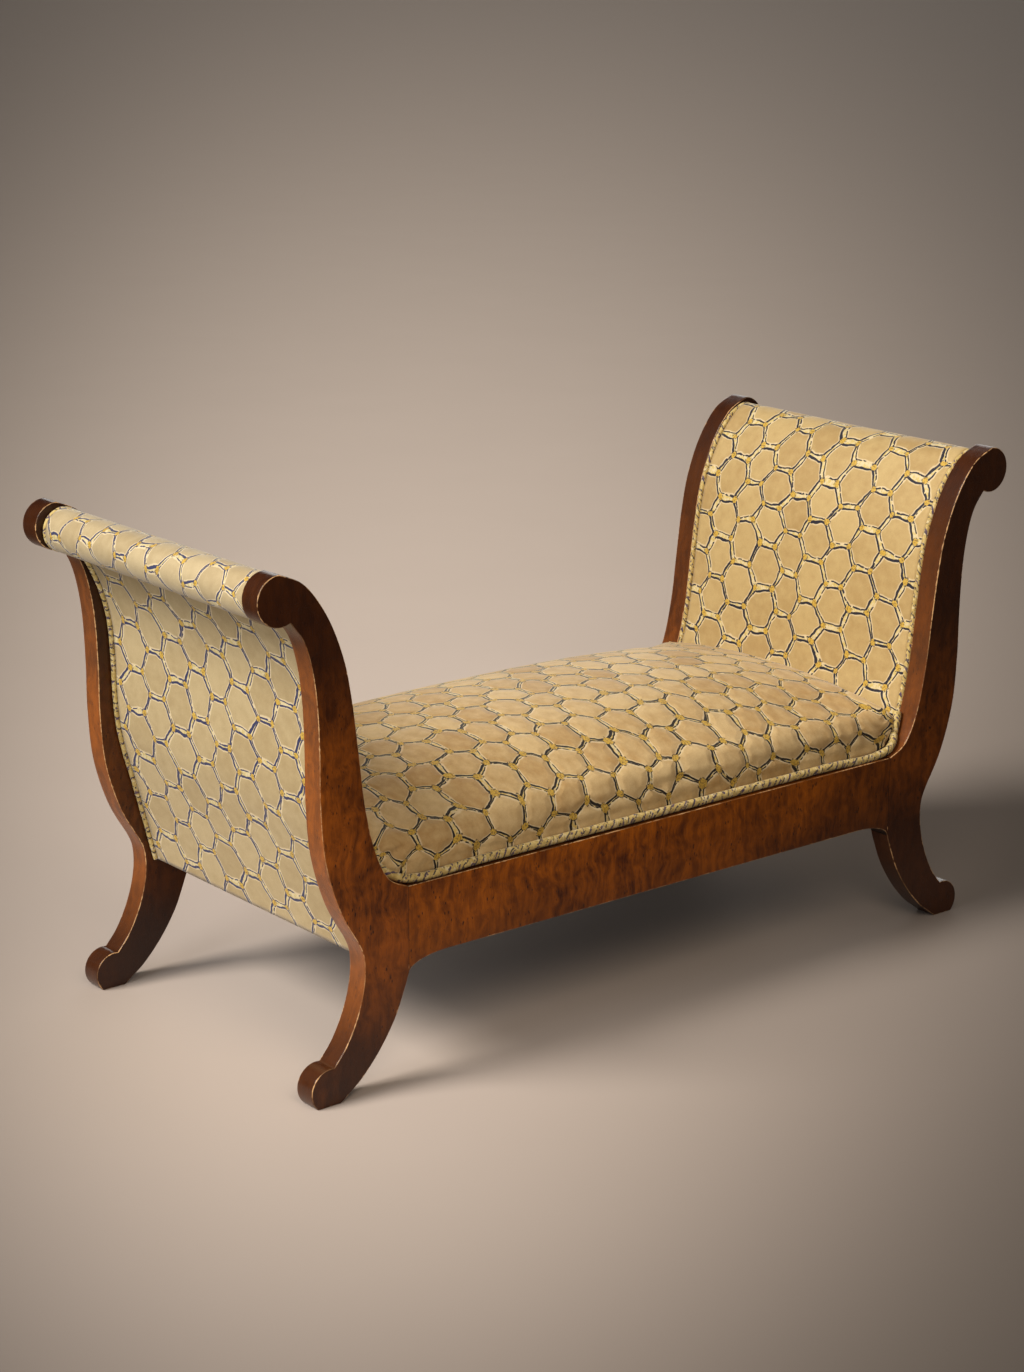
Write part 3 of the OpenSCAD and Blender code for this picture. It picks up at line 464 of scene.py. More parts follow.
def polished_wood(name, light, dark, figure, painted_flank_colour, painted_flank_share):
    """Walnut under french polish, rubbed pale along its edges, with painted shade and painted highlight in
    its colour.
    """
    made, shader = new_material(name, Coat_Weight=0.45, Coat_Roughness=0.20, Coat_IOR=1.5,
                                Specular_IOR_Level=0.12)
    tree = shader.id_data
    across, along, _ = parts_of(worked(tree, "ShaderNodeUVMap", uv_map="grain"))
    laid = worked(tree, "ShaderNodeCombineXYZ", {"X": across, "Z": along})
    look = place_group(tree, wood_look, Place=laid, Light=light, Dark=dark, Figure=figure, Pores=0.8)
    rub, flank, inside = [worked(tree, "ShaderNodeAttribute", output="Fac", attribute_name=mark)
                          for mark in ("rub", "flank", "inside")]
    place = object_place(tree)
    x, _, z = parts_of(place)
    worn = (rise(rub * 0.45 + cloudy(place, 120, 4, 0.65), 0.76, 0.96)
            * rise(cloudy(place, 16, 2), 0.38, 0.58, 0.15, 0.9))
    # Darkening: random clouds of tone, the narrow faces a little, and the posts towards the top; painted
    # shade towards the feet and towards the right end, where less light reaches.
    dark_and_painted_shade = rise(cloudy(place, 3.2, 2), 0.35, 0.65) * 0.22 + rise(z, 0.40, 0.80, 0.0, 0.80)
    dark_and_painted_shade = dark_and_painted_shade * rise(flank, 0.0, 1.0, 1.0, 0.35)
    dark_and_painted_shade = dark_and_painted_shade + rise(z, 0.33, 0.02, 0.0, 0.80) + flank * 0.14
    dark_and_painted_shade = dark_and_painted_shade + rise(z, 0.72, 0.84, 0.0, 0.50) + rise(x, 0.0, 0.8, 0.0, 0.55)
    # Painted light on the narrow faces: on the posts a pale painted highlight, strongest at the left end and
    # dying away at the scrolls and toes; on the rails a dark painted shadow, seen along the top under the
    # piping.
    painted_flank_mix = flank * rise(x, -0.3, 0.6, painted_flank_share, painted_flank_share * 0.4)
    painted_flank_mix = painted_flank_mix * rise(z, 0.84, 0.70) * rise(z, 0.03, 0.24, 0.1, 1.0)
    joint = (rise(abs(abs(x) - joint_x), joint_line, joint_line * 0.4)
             * rise(z, cad_rail_top + 0.001, cad_rail_top - 0.001))
    wood = tint(reckon("MINIMUM", dark_and_painted_shade, 0.92), look["Color"], wood_dark_and_shade)
    wood = tint(painted_flank_mix, wood, painted_flank_colour)
    # Painted shade: the inner faces of boards and rails, between the boards and under the seat, are darkened.
    wood = tint(inside * 0.70, wood, wood_dark_and_shade)
    wood = tint(joint * 0.75, wood, joint_dirt)
    coat(shader, tint(worn, wood, wood_rub), look["Gloss"] + worn * 0.2, look["Height"], 0.00025)
    return made


board_low, board_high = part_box("back_right_board")
rail_low, rail_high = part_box("back_rail")
joint_x = rail_high.x
cad_rail_top = rail_high.z
# The posts' narrow faces take a pale painted highlight, the rails' a dark painted shadow.
post_wood = polished_wood("polished walnut post", (186, 100, 24), (62, 25, 5), 0.95, (150, 96, 60), 0.35)
rail_wood = polished_wood("polished walnut rail", (196, 106, 13), (80, 33, 3), 1.0, (30, 14, 7), 0.8)
face_y = board_high.y
board_in_y = board_low.y
rail_in_y = rail_low.y
for index, side in enumerate(("left", "right")):
    shaped_board("front_" + side + "_board", -face_y, -board_in_y, post_wood, (1.7 * index, 0.3))
    shaped_board("back_" + side + "_board", board_in_y, face_y, post_wood, (1.7 * index + 3.1, 0.9))
shaped_board("front_rail", -face_y, -rail_in_y, rail_wood, (0.4, 5.0))
shaped_board("back_rail", rail_in_y, face_y, rail_wood, (2.9, 7.0))

# Hidden frame. Plain sawn softwood rails, blocks and battens, beech dowels,
# iron screws and tacks; none of it is finished.
core_ends = ("end_rail", "tack_rail", "top_rail", "stretcher", "block", "batten")


def plain_wood(name, roughness, scale, light, dark, figure, pores, depth):
    made, shader = new_material(name, Roughness=roughness)
    tree = shader.id_data
    look = place_group(tree, wood_look, Place=stretched(object_place(tree), (scale, scale, scale)),
                       Light=light, Dark=dark, Figure=figure, Pores=pores)
    coat(shader, look["Color"], None, look["Height"], depth)
    return made


core_wood = plain_wood("sawn softwood", 0.75, 1, (208, 176, 128), (168, 130, 84), 0.3, 0.5, 0.0005)
dowel_wood = plain_wood("turned beech", 0.6, 2, (222, 196, 150), (190, 152, 104), 0.2, 0.4, 0.0003)
iron, shader = new_material("dull iron", Metallic=0.9)
stain = cloudy(object_place(shader.id_data), 260, 4)
coat(shader, tint(rise(stain, 0.4, 0.7), (128, 124, 120), (92, 66, 48)),
     rise(stain, 0.3, 0.7, 0.35, 0.7), stain, 0.0002)
core_nodes = [n for n in cad if n.endswith(core_ends)]
dowel_nodes = [n for n in cad if n.endswith("dowels")]
iron_nodes = [n for n in cad if n.endswith(("screws", "tacks"))]
for names, material in ((core_nodes, core_wood), (dowel_nodes, dowel_wood), (iron_nodes, iron)):
    for name in names:
        cad[name].data.materials.clear()
        cad[name].data.materials.append(material)

# Cloth. Silky tan furnishing cloth with an irregular honeycomb: each cell is edged by a
# band of cream and yellow between two broken dark blue lines, with gold knots where bands meet.
cell_across = 0.064
cell_along = 0.078
cream = (226, 210, 168)
pale_edge = (238, 220, 180)
dull_rung = (150, 132, 110)
knot_gold = (212, 174, 70)
knot_brown = (150, 118, 56)
thread_shade = (120, 98, 62)
cloth_look, taken, given = open_group(
    "honeycomb cloth",
    {"Flat": "Vector", "Cell": "Color", "Cell shade": "Color", "Band": "Color", "Line": "Color",
     "Roam": "Float", "Puff": "Float", "Slant band": "Float", "Flat band": "Float", "Thin line": "Float",
     "Thick line": "Float", "Knot": "Float"},
    {"Color": "Color", "Height": "Float", "Gloss": "Float"})


def scaled(place, by):
    return worked(place.tree, "ShaderNodeVectorMath", {0: place, "Scale": by}, operation="SCALE")


def wander(place, scale, amount):
    """Moves a place about, softly and at random, by up to the amount each way."""
    noise = shifted(cloudy(place, scale, 1, output="Color"), (-0.5, -0.5, -0.5))
    return shifted(place, scaled(noise, amount))


lying = taken["Flat"]
roamed = wander(wander(lying, 8.0, taken["Roam"]), 45.0, 0.006)
columns, rows, _ = parts_of(stretched(roamed, (1 / cell_across, 1 / cell_along, 1)))


def hexagons(shift_across, shift_along):
    """Distances from the middle of the nearest cell of every other column, in cell heights."""
    across = reckon("WRAP", columns - shift_across, 1.0, -1.0)
    along = reckon("WRAP", rows - shift_along, 0.5, -0.5)
    slant = abs(across) * 0.75
    half = abs(along) * 0.5
    return across, along, abs(along), slant + half, slant - half, reckon("MAXIMUM", abs(along), slant + half)


even = hexagons(0.0, 0.0)
odd = hexagons(1.0, 0.5)
in_odd = reckon("LESS_THAN", odd[5], even[5])
across, along, to_flat, to_slant, to_other, to_edge = [
    worked(cloth_look, "ShaderNodeMix", {0: in_odd, 2: first, 3: second}) for first, second in zip(even, odd)]
from_edge = 0.5 - to_edge
from_flat = 0.5 - to_flat
from_slant = 0.5 - to_slant
from_knot = reckon("MINIMUM", reckon("MAXIMUM", from_flat, from_slant), 0.5 - to_other)
near_flat = rise(from_slant - from_flat, -0.03, 0.03)
band_half = rise(near_flat, 0.0, 1.0, taken["Slant band"], taken["Flat band"])
band_half = band_half * rise(cloudy(lying, 19.0, 1), 0.36, 0.64, 0.60, 1.45)
from_band = from_edge + (cloudy(lying, 90.0, 2) - 0.5) * 0.035 - band_half
cell_name = worked(cloth_look, "ShaderNodeCombineXYZ", {
    "X": reckon("ROUND", columns - across), "Y": reckon("ROUND", (rows - along) * 2.0)})
by_cell = worked(cloth_look, "ShaderNodeTexWhiteNoise", {"Vector": cell_name}, "Value",
                 noise_dimensions="2D")
threads = cloudy(stretched(lying, (260, 1500, 1)), 1.0, 2)
cell_share = cloudy(lying, 42.0, 4, 0.6) * 0.75 + by_cell * 0.35
in_band = rise(from_band, 0.004, -0.006)
rungs = in_band * rise(cloudy(stretched(lying, (300, 60, 1)), 1.0, 1), 0.58, 0.66)
strong_side = near_flat * rise(along, -0.01, 0.01) + (1.0 - near_flat) * rise(across, 0.01, -0.01)
breaks = rise(cloudy(lying, 95.0, 1) + strong_side * 0.14, 0.37, 0.43)
line_half = rise(strong_side, 0.0, 1.0, taken["Thin line"], taken["Thick line"])
line = rise(abs(from_band) - line_half, 0.003, -0.003) * breaks
from_knot = from_knot - (cloudy(lying, 30.0, 1) * 0.05 + taken["Knot"])
knot_rim = rise(from_knot, 0.082, 0.074) * rise(cloudy(lying, 210.0, 1), 0.46, 0.54)
gold = tint(rise(cloudy(lying, 320.0, 1), 0.52, 0.60), knot_gold, knot_brown)
fill = tint(rise(cloudy(lying, 130.0, 2), 0.40, 0.62), cream, taken["Band"])
pattern = tint(rise(cell_share, 0.25, 0.9), taken["Cell"], taken["Cell shade"])
for share, laid_on in ((rise(from_band, 0.070, 0.030) * 0.68, pale_edge), (in_band, fill),
                       (rungs * 0.25, dull_rung), (line, taken["Line"]),
                       (knot_rim * 0.8, taken["Line"]), (rise(from_knot, 0.054, 0.042), gold),
                       (rise(threads, 0.3, 0.7, 0.0, 0.16), thread_shade)):
    pattern = tint(share, pattern, laid_on)
puffed = rise(from_band, -0.02, 0.22) * taken["Puff"]
feed(given["Color"], pattern)
feed(given["Height"], threads * 0.22 + (puffed + (in_band * 0.3 - line * 0.2)))
feed(given["Gloss"], rise(in_band, 0.0, 1.0, 0.62, 0.50))


def honeycomb_cloth(name, cell, shade, band, line, roam, puff, widths):
    made, shader = new_material(name, Sheen_Weight=0.25, Sheen_Roughness=0.4, Specular_IOR_Level=0.35)
    tree = shader.id_data
    look = place_group(tree, cloth_look, Flat=worked(tree, "ShaderNodeUVMap", uv_map="cloth"),
                       Cell=cell, Cell_shade=shade, Band=band, Line=line, Roam=roam, Puff=puff,
                       Slant_band=widths[0], Flat_band=widths[1], Thin_line=widths[2],
                       Thick_line=widths[3], Knot=widths[4])
    coat(shader, look["Color"], look["Gloss"], look["Height"], 0.001)
    return made


# Seat. A hair-stuffed crowned cushion that fills the space between the boards; its cloth
# is pulled down over a rounded edge and tacked to the rails behind the piping.
seat_cloth = honeycomb_cloth("seat cloth", (222, 194, 142), (184, 146, 90), (222, 192, 108), (12, 11, 20),
                             0.054, 2.4, (0.027, 0.046, 0.015, 0.027, 0.018))
rail_top = rail_high.z
seat_edge_h = 0.069
seat_end_crown = 0.025
seat_mid_crown = 0.058
seat_corner_r = 0.022
seat_half_y = face_y - 0.012
seat_gap = 0.0006
piping_room = 0.010
edge_roll = 0.034
seat_foot = rail_top + 0.0003
piping_top = rail_top + 0.0165
swell_cap = 0.006
swell_frames = 20
pucker_depth = 0.0016
fold_depth = 0.0042
fold_width = 0.008
pleat_depth = 0.0024
pleat_reach = 0.055
bunch_reach = 0.065
bunch_size = 0.016
seat_cell_share = 78 / 72
hair_half_x = 0.515
hair_half_y = 0.300
hair_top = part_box("seat_stuffing")[1].z
hair_gap = 0.0012

board_runs = runs_of(outline_of(cad["back_right_board"], face_y))
inner_run = next(run for run in board_runs if np.linalg.norm(run[0] - (rail_high.x, rail_top)) < 1e-4
                 or np.linalg.norm(run[-1] - (rail_high.x, rail_top)) < 1e-4)
if abs(inner_run[0][1] - rail_top) > 1e-4:
    inner_run = inner_run[::-1]
inner_edge = inner_run[:np.argmax(inner_run[:, 1]) + 1]


def inner_x(z):
    """How far out the boards' inner edge is at a height."""
    return np.interp(z, inner_edge[:, 1], inner_edge[:, 0])


seat_half_x = float(inner_x(rail_top + seat_edge_h + seat_end_crown)) - seat_gap


def seat_top(x, y):
    u = np.minimum(np.abs(x) / seat_half_x, 1)
    v = np.minimum(np.abs(y) / seat_half_y, 1)
    crown = (1 - v**2.4) * (seat_end_crown + seat_mid_crown * (1 - u**2.5))
    return rail_top + seat_edge_h + crown


def ease(t):
    t = np.clip(t, 0, 1)
    return t * t * (3 - 2 * t)


def rounded_plan(half_x, half_y, radius, step):
    """A rectangle with round corners, seen from above, counter-clockwise."""
    line = []
    for mid_x, mid_y, first in ((1, 1, 0), (-1, 1, 90), (-1, -1, 180), (1, -1, 270)):
        for angle in np.radians(np.linspace(first, first + 90, 9)):
            line.append((mid_x * (half_x - radius) + radius * math.cos(angle),
                         mid_y * (half_y - radius) + radius * math.sin(angle)))
    line = np.array(line + line[:1])
    run = length_along(line)
    place = np.linspace(0, run[-1], int(run[-1] / step) + 1)[:-1]
    return np.c_[np.interp(place, run, line[:, 0]), np.interp(place, run, line[:, 1])]


def ring_skin(rings):
    """Points and faces of a skin through rings with as many points each, closed at both ends."""
    count = len(rings[0])
    points = np.concatenate(rings)
    faces = [(a + i, a + (i + 1) % count, a + count + (i + 1) % count, a + count + i)
             for a in range(0, len(points) - count, count) for i in range(count)]
    faces.append(tuple(range(count - 1, -1, -1)))
    faces.append(tuple(range(len(points) - count, len(points))))
    return points, faces


def points_of(piece):
    return np.array([v.co for v in piece.data.vertices])


def as_shown(piece):
    """The mesh that a piece has after its modifiers."""
    return bpy.data.meshes.new_from_object(piece.evaluated_get(bpy.context.evaluated_depsgraph_get()))


def reshape(piece, place):
    """Moves a piece's points to their new places."""
    piece.data.vertices.foreach_set("co", place.ravel())
    piece.data.update()


def settle(piece):
    """Makes what a piece's modifiers show its own mesh."""
    piece.data = as_shown(piece)
    piece.modifiers.clear()


def lay_flat(piece, flat):
    """Keeps where each point lies in the flat cloth, for its pattern."""
    loops = np.zeros(len(piece.data.loops), int)
    piece.data.loops.foreach_get("vertex_index", loops)
    piece.data.uv_layers.new(name="cloth").data.foreach_set("uv", np.asarray(flat)[loops].ravel())


def swell(piece, held, pressure, cap):
    """Lets the cloth fill out under pressure where it isn't held; a point moves up to the cap."""
    before = points_of(piece)
    group = piece.vertex_groups.new(name="held")
    group.add([int(i) for i in np.flatnonzero(held)], 1.0, "REPLACE")
    cloth = piece.modifiers.new("cloth", "CLOTH")
    for name, value in (("quality", 6), ("mass", 0.3), ("tension_stiffness", 25),
                        ("compression_stiffness", 25), ("shear_stiffness", 8), ("bending_stiffness", 1.0),
                        ("use_pressure", True), ("uniform_pressure_force", pressure),
                        ("vertex_group_mass", "held")):
        setattr(cloth.settings, name, value)
    cloth.settings.effector_weights.gravity = 0
    cloth.collision_settings.use_collision = False
    cloth.point_cache.frame_start = 1
    cloth.point_cache.frame_end = swell_frames
    for moment in range(1, swell_frames + 1):
        scene.frame_set(moment)
    shaped = piece.evaluated_get(bpy.context.evaluated_depsgraph_get())
    after = np.array([v.co for v in shaped.data.vertices])
    piece.modifiers.remove(cloth)
    scene.frame_set(1)
    move = after - before
    far = np.linalg.norm(move, axis=1)[:, None]
    after = before + move * np.minimum(1, cap / np.maximum(far, 1e-9))
    reshape(piece, after)


plan = rounded_plan(seat_half_x, seat_half_y, seat_corner_r, 0.012)
corner_mid = np.array((seat_half_x, seat_half_y)) - seat_corner_r
inward = np.clip(plan, -corner_mid, corner_mid) - plan
inward /= np.linalg.norm(inward, axis=1)[:, None]


def low_ring(by, z):
    """One ring of the seat, moved in from the plan and kept beside the boards' curve."""
    x, y = (plan + by * inward).T
    return np.c_[x / seat_half_x * (inner_x(z) - seat_gap), y, np.broadcast_to(z, len(plan))]


def seat_ring(by, share):
    """A ring between the piping and the crown, up that share of the way."""
    return low_ring(by, piping_top + (seat_top(*(plan + by * inward).T) - piping_top) * share)


shrink = swell_cap / 2
rings = [low_ring(0.10, seat_foot), low_ring(0.04, seat_foot), low_ring(piping_room + shrink, seat_foot),
         low_ring(piping_room + shrink, rail_top + 0.010), low_ring(0.003 + shrink, piping_top + 0.002),
         seat_ring(0.001 + shrink, 0.12), seat_ring(shrink, 0.30)]
for angle in np.radians([15, 30, 45, 60, 75, 90]):
    rings.append(seat_ring(shrink + edge_roll * (1 - math.cos(angle)), 0.30 + 0.70 * math.sin(angle) - 0.02))
for share in (0.94, 0.86, 0.74, 0.6, 0.45, 0.3, 0.15):
    x, y = (plan * share * (1 - edge_roll / seat_half_y)).T
    rings.append(np.c_[x, y, seat_top(x, y) - shrink])
points, faces = ring_skin(rings)
seat = new_piece("seat_cushion_covered", points, faces, seat_cloth)
remesh = seat.modifiers.new("remesh", "REMESH")
remesh.mode = "VOXEL"
remesh.voxel_size = 0.010
settle(seat)
swell(seat, points_of(seat)[:, 2] < piping_top + 0.002, 4.0, swell_cap)
place = points_of(seat)
place[:, 0] = np.sign(place[:, 0]) * np.minimum(np.abs(place[:, 0]), inner_x(place[:, 2]) - seat_gap)
reshape(seat, place)
finer = seat.modifiers.new("finer", "SUBSURF")
finer.levels = 1
settle(seat)
seat.data.polygons.foreach_set("use_smooth", [True] * len(seat.data.polygons))
place = points_of(seat)
x, y, z = place.T
side_share = ease((np.abs(y) - seat_half_y + 0.035) / 0.02) * (z > piping_top)
side_share *= ease((seat_top(x, np.zeros(len(x))) - z) / 0.03)
puckers = np.sin(74 * x + 5 * np.sin(13 * x)) + 0.6 * np.sin(150 * z + 21 * x)
pulled_in = pucker_depth * side_share * (1 + 0.6 * puckers)
on_side = ease((np.abs(y) - seat_half_y + 0.030) / 0.018) * (z > piping_top + 0.004)
fold_height = piping_top + 0.027 + 0.005 * np.sin(9 * x + 1) + 0.003 * np.sin(31 * x)
fold_share = 0.6 + 0.4 * np.sin(21 * x + 2 * np.sin(7 * x))
pulled_in += fold_depth * on_side * fold_share * np.exp(-((z - fold_height) / fold_width) ** 2)
from_corner = (np.abs(x) - seat_half_x + 0.05) ** 2 + (z - piping_top - 0.03) ** 2
pleats = 1 + np.sin(210 * z + 120 * np.abs(x))
pulled_in += pleat_depth * on_side * pleats * np.exp(-from_corner / pleat_reach**2)
y -= np.sign(y) * pulled_in
hollow = ((place[:, 2] < seat_foot + 0.003) & (np.abs(place[:, 0]) < hair_half_x + hair_gap)
          & (np.abs(place[:, 1]) < hair_half_y + hair_gap))
for axis, half in ((0, hair_half_x), (1, hair_half_y)):
    place[hollow, axis] *= (half + hair_gap) / np.abs(place[hollow, axis]).max()
place[hollow, 2] = hair_top + 0.0005
reshape(seat, place)
corner = np.abs(place[:, :2]) - corner_mid
outward = np.where((corner.max(axis=1) == corner[:, 0])[:, None], (1.0, 0.0), (0.0, 1.0))
round_part = corner.min(axis=1) > 0
outward[round_part] = corner[round_part] / np.linalg.norm(corner[round_part], axis=1)[:, None]
x, y, z = place.T
drop = np.maximum(seat_top(x, y) - z - 0.004, 0)[:, None]
flat = place[:, :2] + np.sign(place[:, :2]) * outward * drop
to_corner = ((np.abs(place[:, :2]) - (seat_half_x - 0.02, seat_half_y - 0.02)) ** 2).sum(axis=1)
bunched = bunch_size * np.exp(-to_corner / bunch_reach**2)
flat += bunched[:, None] * np.c_[np.sin(95 * y + 60 * z), np.sin(88 * x - 70 * z)]
lay_flat(seat, np.c_[flat[:, 1], flat[:, 0] * seat_cell_share])
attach(seat, "root")
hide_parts("seat_cushion")

# Inner pads and rolls. One cloth covers the thin pad between the boards, goes over the padded
# top rail and is tucked into the crease under it; the edges are sewn to the piping.
end_cloth = honeycomb_cloth("end cloth", (200, 174, 120), (176, 146, 94), (216, 192, 116), (14, 24, 48),
                            0.034, 0.5, (0.048, 0.066, 0.020, 0.029, 0.0))
# The left end has a greyer, paler copy of the end cloth with bluer lines: a painted sheen of the left lamp on
# that end.
sheen_painted_cloth = honeycomb_cloth("end cloth with painted sheen", (192, 174, 136), (172, 152, 114), (206, 188, 124),
                              (40, 52, 96), 0.050, 0.5, (0.034, 0.052, 0.016, 0.027, 0.0))
core_low, core_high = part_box("right_top_rail")
roll_mid = np.array([(core_low.x + core_high.x) / 2, (core_low.z + core_high.z) / 2])
roll_r = 0.038
pad_half_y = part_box("right_inner_pad")[1].y
pad_thick = 0.017
pad_crown = 0.010
pad_set_back = 0.002
pad_foot_share = 0.066
crown_before_swell = 0.6
roll_start = math.radians(125)
roll_end = math.radians(-120)
pad_step = 0.008


def inner_out(z):
    """The direction away from the sitter, square to the boards' inner edge."""
    h = 0.002
    way = np.array([2 * h, -(inner_x(z + h) - inner_x(z - h))])
    return way / np.linalg.norm(way)


def end_line(foot_set_back, set_back):
    """Line beside the boards' inner edge, from the foot of the pad as far as the roll."""
    post_h = board_high.z - rail_top
    first = rail_top + pad_foot_share * post_h
    turn = rail_top + 0.80 * post_h
    line = []
    for t, z in zip(np.linspace(0, 1, 20), np.linspace(first, turn, 20)):
        back = foot_set_back + (set_back - foot_set_back) * ease(6 * t)
        line.append(np.array([inner_x(z), z]) + back * inner_out(z))
    head = [p for p in inner_edge if p[1] > turn + 0.01 * post_h and p[0] < roll_mid[0] - 0.92 * roll_r]
    line += [p + set_back * (1 + 1.5 * (k + 1) / len(head)) * inner_out(p[1]) for k, p in enumerate(head)]
    return np.array(line)


def round_roll(radius, end, steps):
    turn = np.linspace(roll_start, end, steps)
    return roll_mid + radius * np.c_[np.cos(turn), np.sin(turn)]


pad_line = end_line(0, pad_set_back)
pad_run = length_along(np.r_[pad_line, round_roll(roll_r, roll_end, 2)[:1]])[-1]
roll_run = roll_r * (roll_start - roll_end)
face_line = evenly(np.r_[pad_line, round_roll(roll_r, roll_end, 15)], pad_step)
face_run = length_along(face_line)
pad_share = np.clip(face_run / pad_run, 0, 1)
roll_share = np.clip((face_run - pad_run) / roll_run, 0, 1)
bulge = np.where(face_run < pad_run, ease((pad_share - 0.16) * 5) * (1 - 0.6 * ease((pad_share - 0.7) * 3.3)),
                 0.4 * (1 - ease((roll_share - 0.55) * 2.5)))
ahead = np.gradient(face_line, axis=0)
ahead /= np.linalg.norm(ahead, axis=1)[:, None]
to_sitter = np.c_[-ahead[:, 1], ahead[:, 0]]
pad_depth = pad_thick + (roll_r - 0.0268 - pad_thick) * ease((face_run - pad_run + 0.06) / 0.06)
stations = np.linspace(-pad_half_y, pad_half_y, int(2 * pad_half_y / pad_step) + 1)
rows_up, stations_across = len(face_line), len(stations)


def two_sided(front, back, turned):
    """Points and faces of a closed piece between two grids of points, rows by columns."""
    at = np.arange(front[..., 0].size * 2).reshape(2, *front.shape[:2])
    top, under = at
    faces = np.stack([top[:-1, :-1], top[:-1, 1:], top[1:, 1:], top[1:, :-1]], axis=-1).reshape(-1, 4)
    below = np.stack([under[:-1, :-1], under[1:, :-1], under[1:, 1:], under[:-1, 1:]], axis=-1).reshape(-1, 4)
    rim = [np.r_[layer[0, :-1], layer[:-1, -1], layer[-1, :0:-1], layer[:0:-1, 0]] for layer in at]
    after = [np.roll(line, -1) for line in rim]
    sides = np.stack([after[0], rim[0], rim[1], after[1]], axis=-1)
    faces = np.concatenate([faces, below, sides])
    if turned:
        faces = faces[:, ::-1]
    return np.concatenate([front.reshape(-1, 3), back.reshape(-1, 3)]), faces.tolist()


def beside(side, line, out, depth, across):
    """Points off a line that runs up one end: rows go up the line, columns across the seat."""
    off = line[:, None] + out[:, None] * np.broadcast_to(depth, (len(line), len(across)))[..., None]
    return np.stack([side * off[..., 0], np.broadcast_to(across, off.shape[:2]), off[..., 1]], axis=-1)


def padded_end(name, side, nodes, cloth, cloth_scale):
    crowned = pad_crown * (1 - (np.abs(stations) / pad_half_y) ** 2.6) * crown_before_swell
    front = beside(side, face_line, to_sitter, bulge[:, None] * crowned, stations)
    back = beside(side, face_line, -to_sitter, pad_depth[:, None], stations)
    points, faces = two_sided(front, back, side > 0)
    piece = new_piece(name, points, faces, cloth)
    size = rows_up * stations_across
    row_of, col_of = np.divmod(np.arange(size), stations_across)
    inside = (row_of > 0) & (row_of < rows_up - 1) & (col_of > 0) & (col_of < stations_across - 1)
    swell(piece, ~np.r_[inside, np.zeros(size, bool)], 5.0, 0.005)
    flat = np.c_[np.tile(stations, rows_up), np.repeat(face_run, stations_across)]
    lay_flat(piece, np.r_[flat, flat] * cloth_scale + (1.0 if side > 0 else 3.0, 0.2))
    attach(piece, "root")
    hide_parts(*nodes)


padded_end("left_end_padding", -1, ("left_inner_pad", "left_roll"), sheen_painted_cloth, (1.25, 1.15))
padded_end("right_end_padding", 1, ("right_inner_pad", "right_roll"), end_cloth, (1.0, 1.0))

# Outer panels. The same cloth with a lining, stretched from the crease under the roll
# down to the end rail and sewn to the piping along the boards.
# The outer panels' cloth is greyer and paler, with bluer lines, than the end cloth: partly its own colour and
# partly a painted sheen of the left lamp.
panel_cloth = honeycomb_cloth("outer panel cloth", (194, 174, 132), (172, 150, 108), (210, 190, 124),
                              (32, 44, 92), 0.038, 0.4, (0.038, 0.056, 0.016, 0.029, 0.0))
panel_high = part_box("right_outer_panel")[1]
panel_thick = 0.004
panel_hollow = 0.003
panel_runs = [run for run in runs_of(outline_of(cad["right_outer_panel"], panel_high.y)) if len(run) > 8]
panel_line = max(panel_runs, key=lambda run: run[:, 0].mean())
if panel_line[0][1] > panel_line[-1][1]:
    panel_line = panel_line[::-1]
panel_line = evenly(panel_line, pad_step)
panel_run = length_along(panel_line)
along_panel = np.gradient(panel_line, axis=0)
along_panel /= np.linalg.norm(along_panel, axis=1)[:, None]
panel_out = np.c_[along_panel[:, 1], -along_panel[:, 0]]


def outer_panel(name, side, node):
    hollow = panel_hollow * np.sin(np.pi * panel_run / panel_run[-1])[:, None]
    hollow = hollow * (1 - (np.abs(stations) / panel_high.y) ** 2)
    layers = [beside(side, panel_line, -panel_out, deep + hollow, stations) for deep in (0, panel_thick)]
    points, faces = two_sided(*layers, side < 0)
    piece = new_piece(name, points, faces, panel_cloth)
    flat = np.c_[np.tile(stations, len(panel_run)), np.repeat(panel_run, stations_across)]
    lay_flat(piece, np.r_[flat, flat] + (5.0 if side > 0 else 7.0, 0.4))
    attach(piece, "root")
    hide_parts(node)


outer_panel("left_outer_cover", -1, "left_outer_panel")
outer_panel("right_outer_cover", 1, "right_outer_panel")

# Piping. Cord sewn into a bias strip of the cloth, so that the pattern shows as short
# dark dashes on pale yellow. It edges the seat and both sides of each padded end.
seat_piping_d = 0.015
end_piping_d = 0.010
seat_piping_y = face_y - 0.012
piping_foot = 1 / 150
piping_rise = 0.122
piping_tuck = 0.012
piping_lean = 0.014
cord_step = 0.004
cord_lumps = 0.0014
cord_pale = (230, 216, 176)
cord_shade = (110, 90, 56)
dashes = ((0.0165, 0.0, 0.455, (16, 18, 50)), (0.0230, 0.006, 0.52, (64, 42, 88)))
piping_cloth, shader = new_material("piping cloth", Roughness=0.65, Sheen_Weight=0.2)
laid = worked(shader.id_data, "ShaderNodeAttribute", output="Vector", attribute_name="cord_place")
along_cord, round_y, round_z = parts_of(laid)
base = tint(rise(cloudy(laid, 150, 3), 0.35, 0.65), (218, 194, 124), (192, 164, 92))
pale = rise(cloudy(stretched(laid, (110, 60, 60)), 1.3, 1), 0.58, 0.66)
base = tint(pale * 0.6, base, cord_pale)
drift = cloudy(stretched(laid, (28, 10, 10)), 1.0, 1) * 0.03
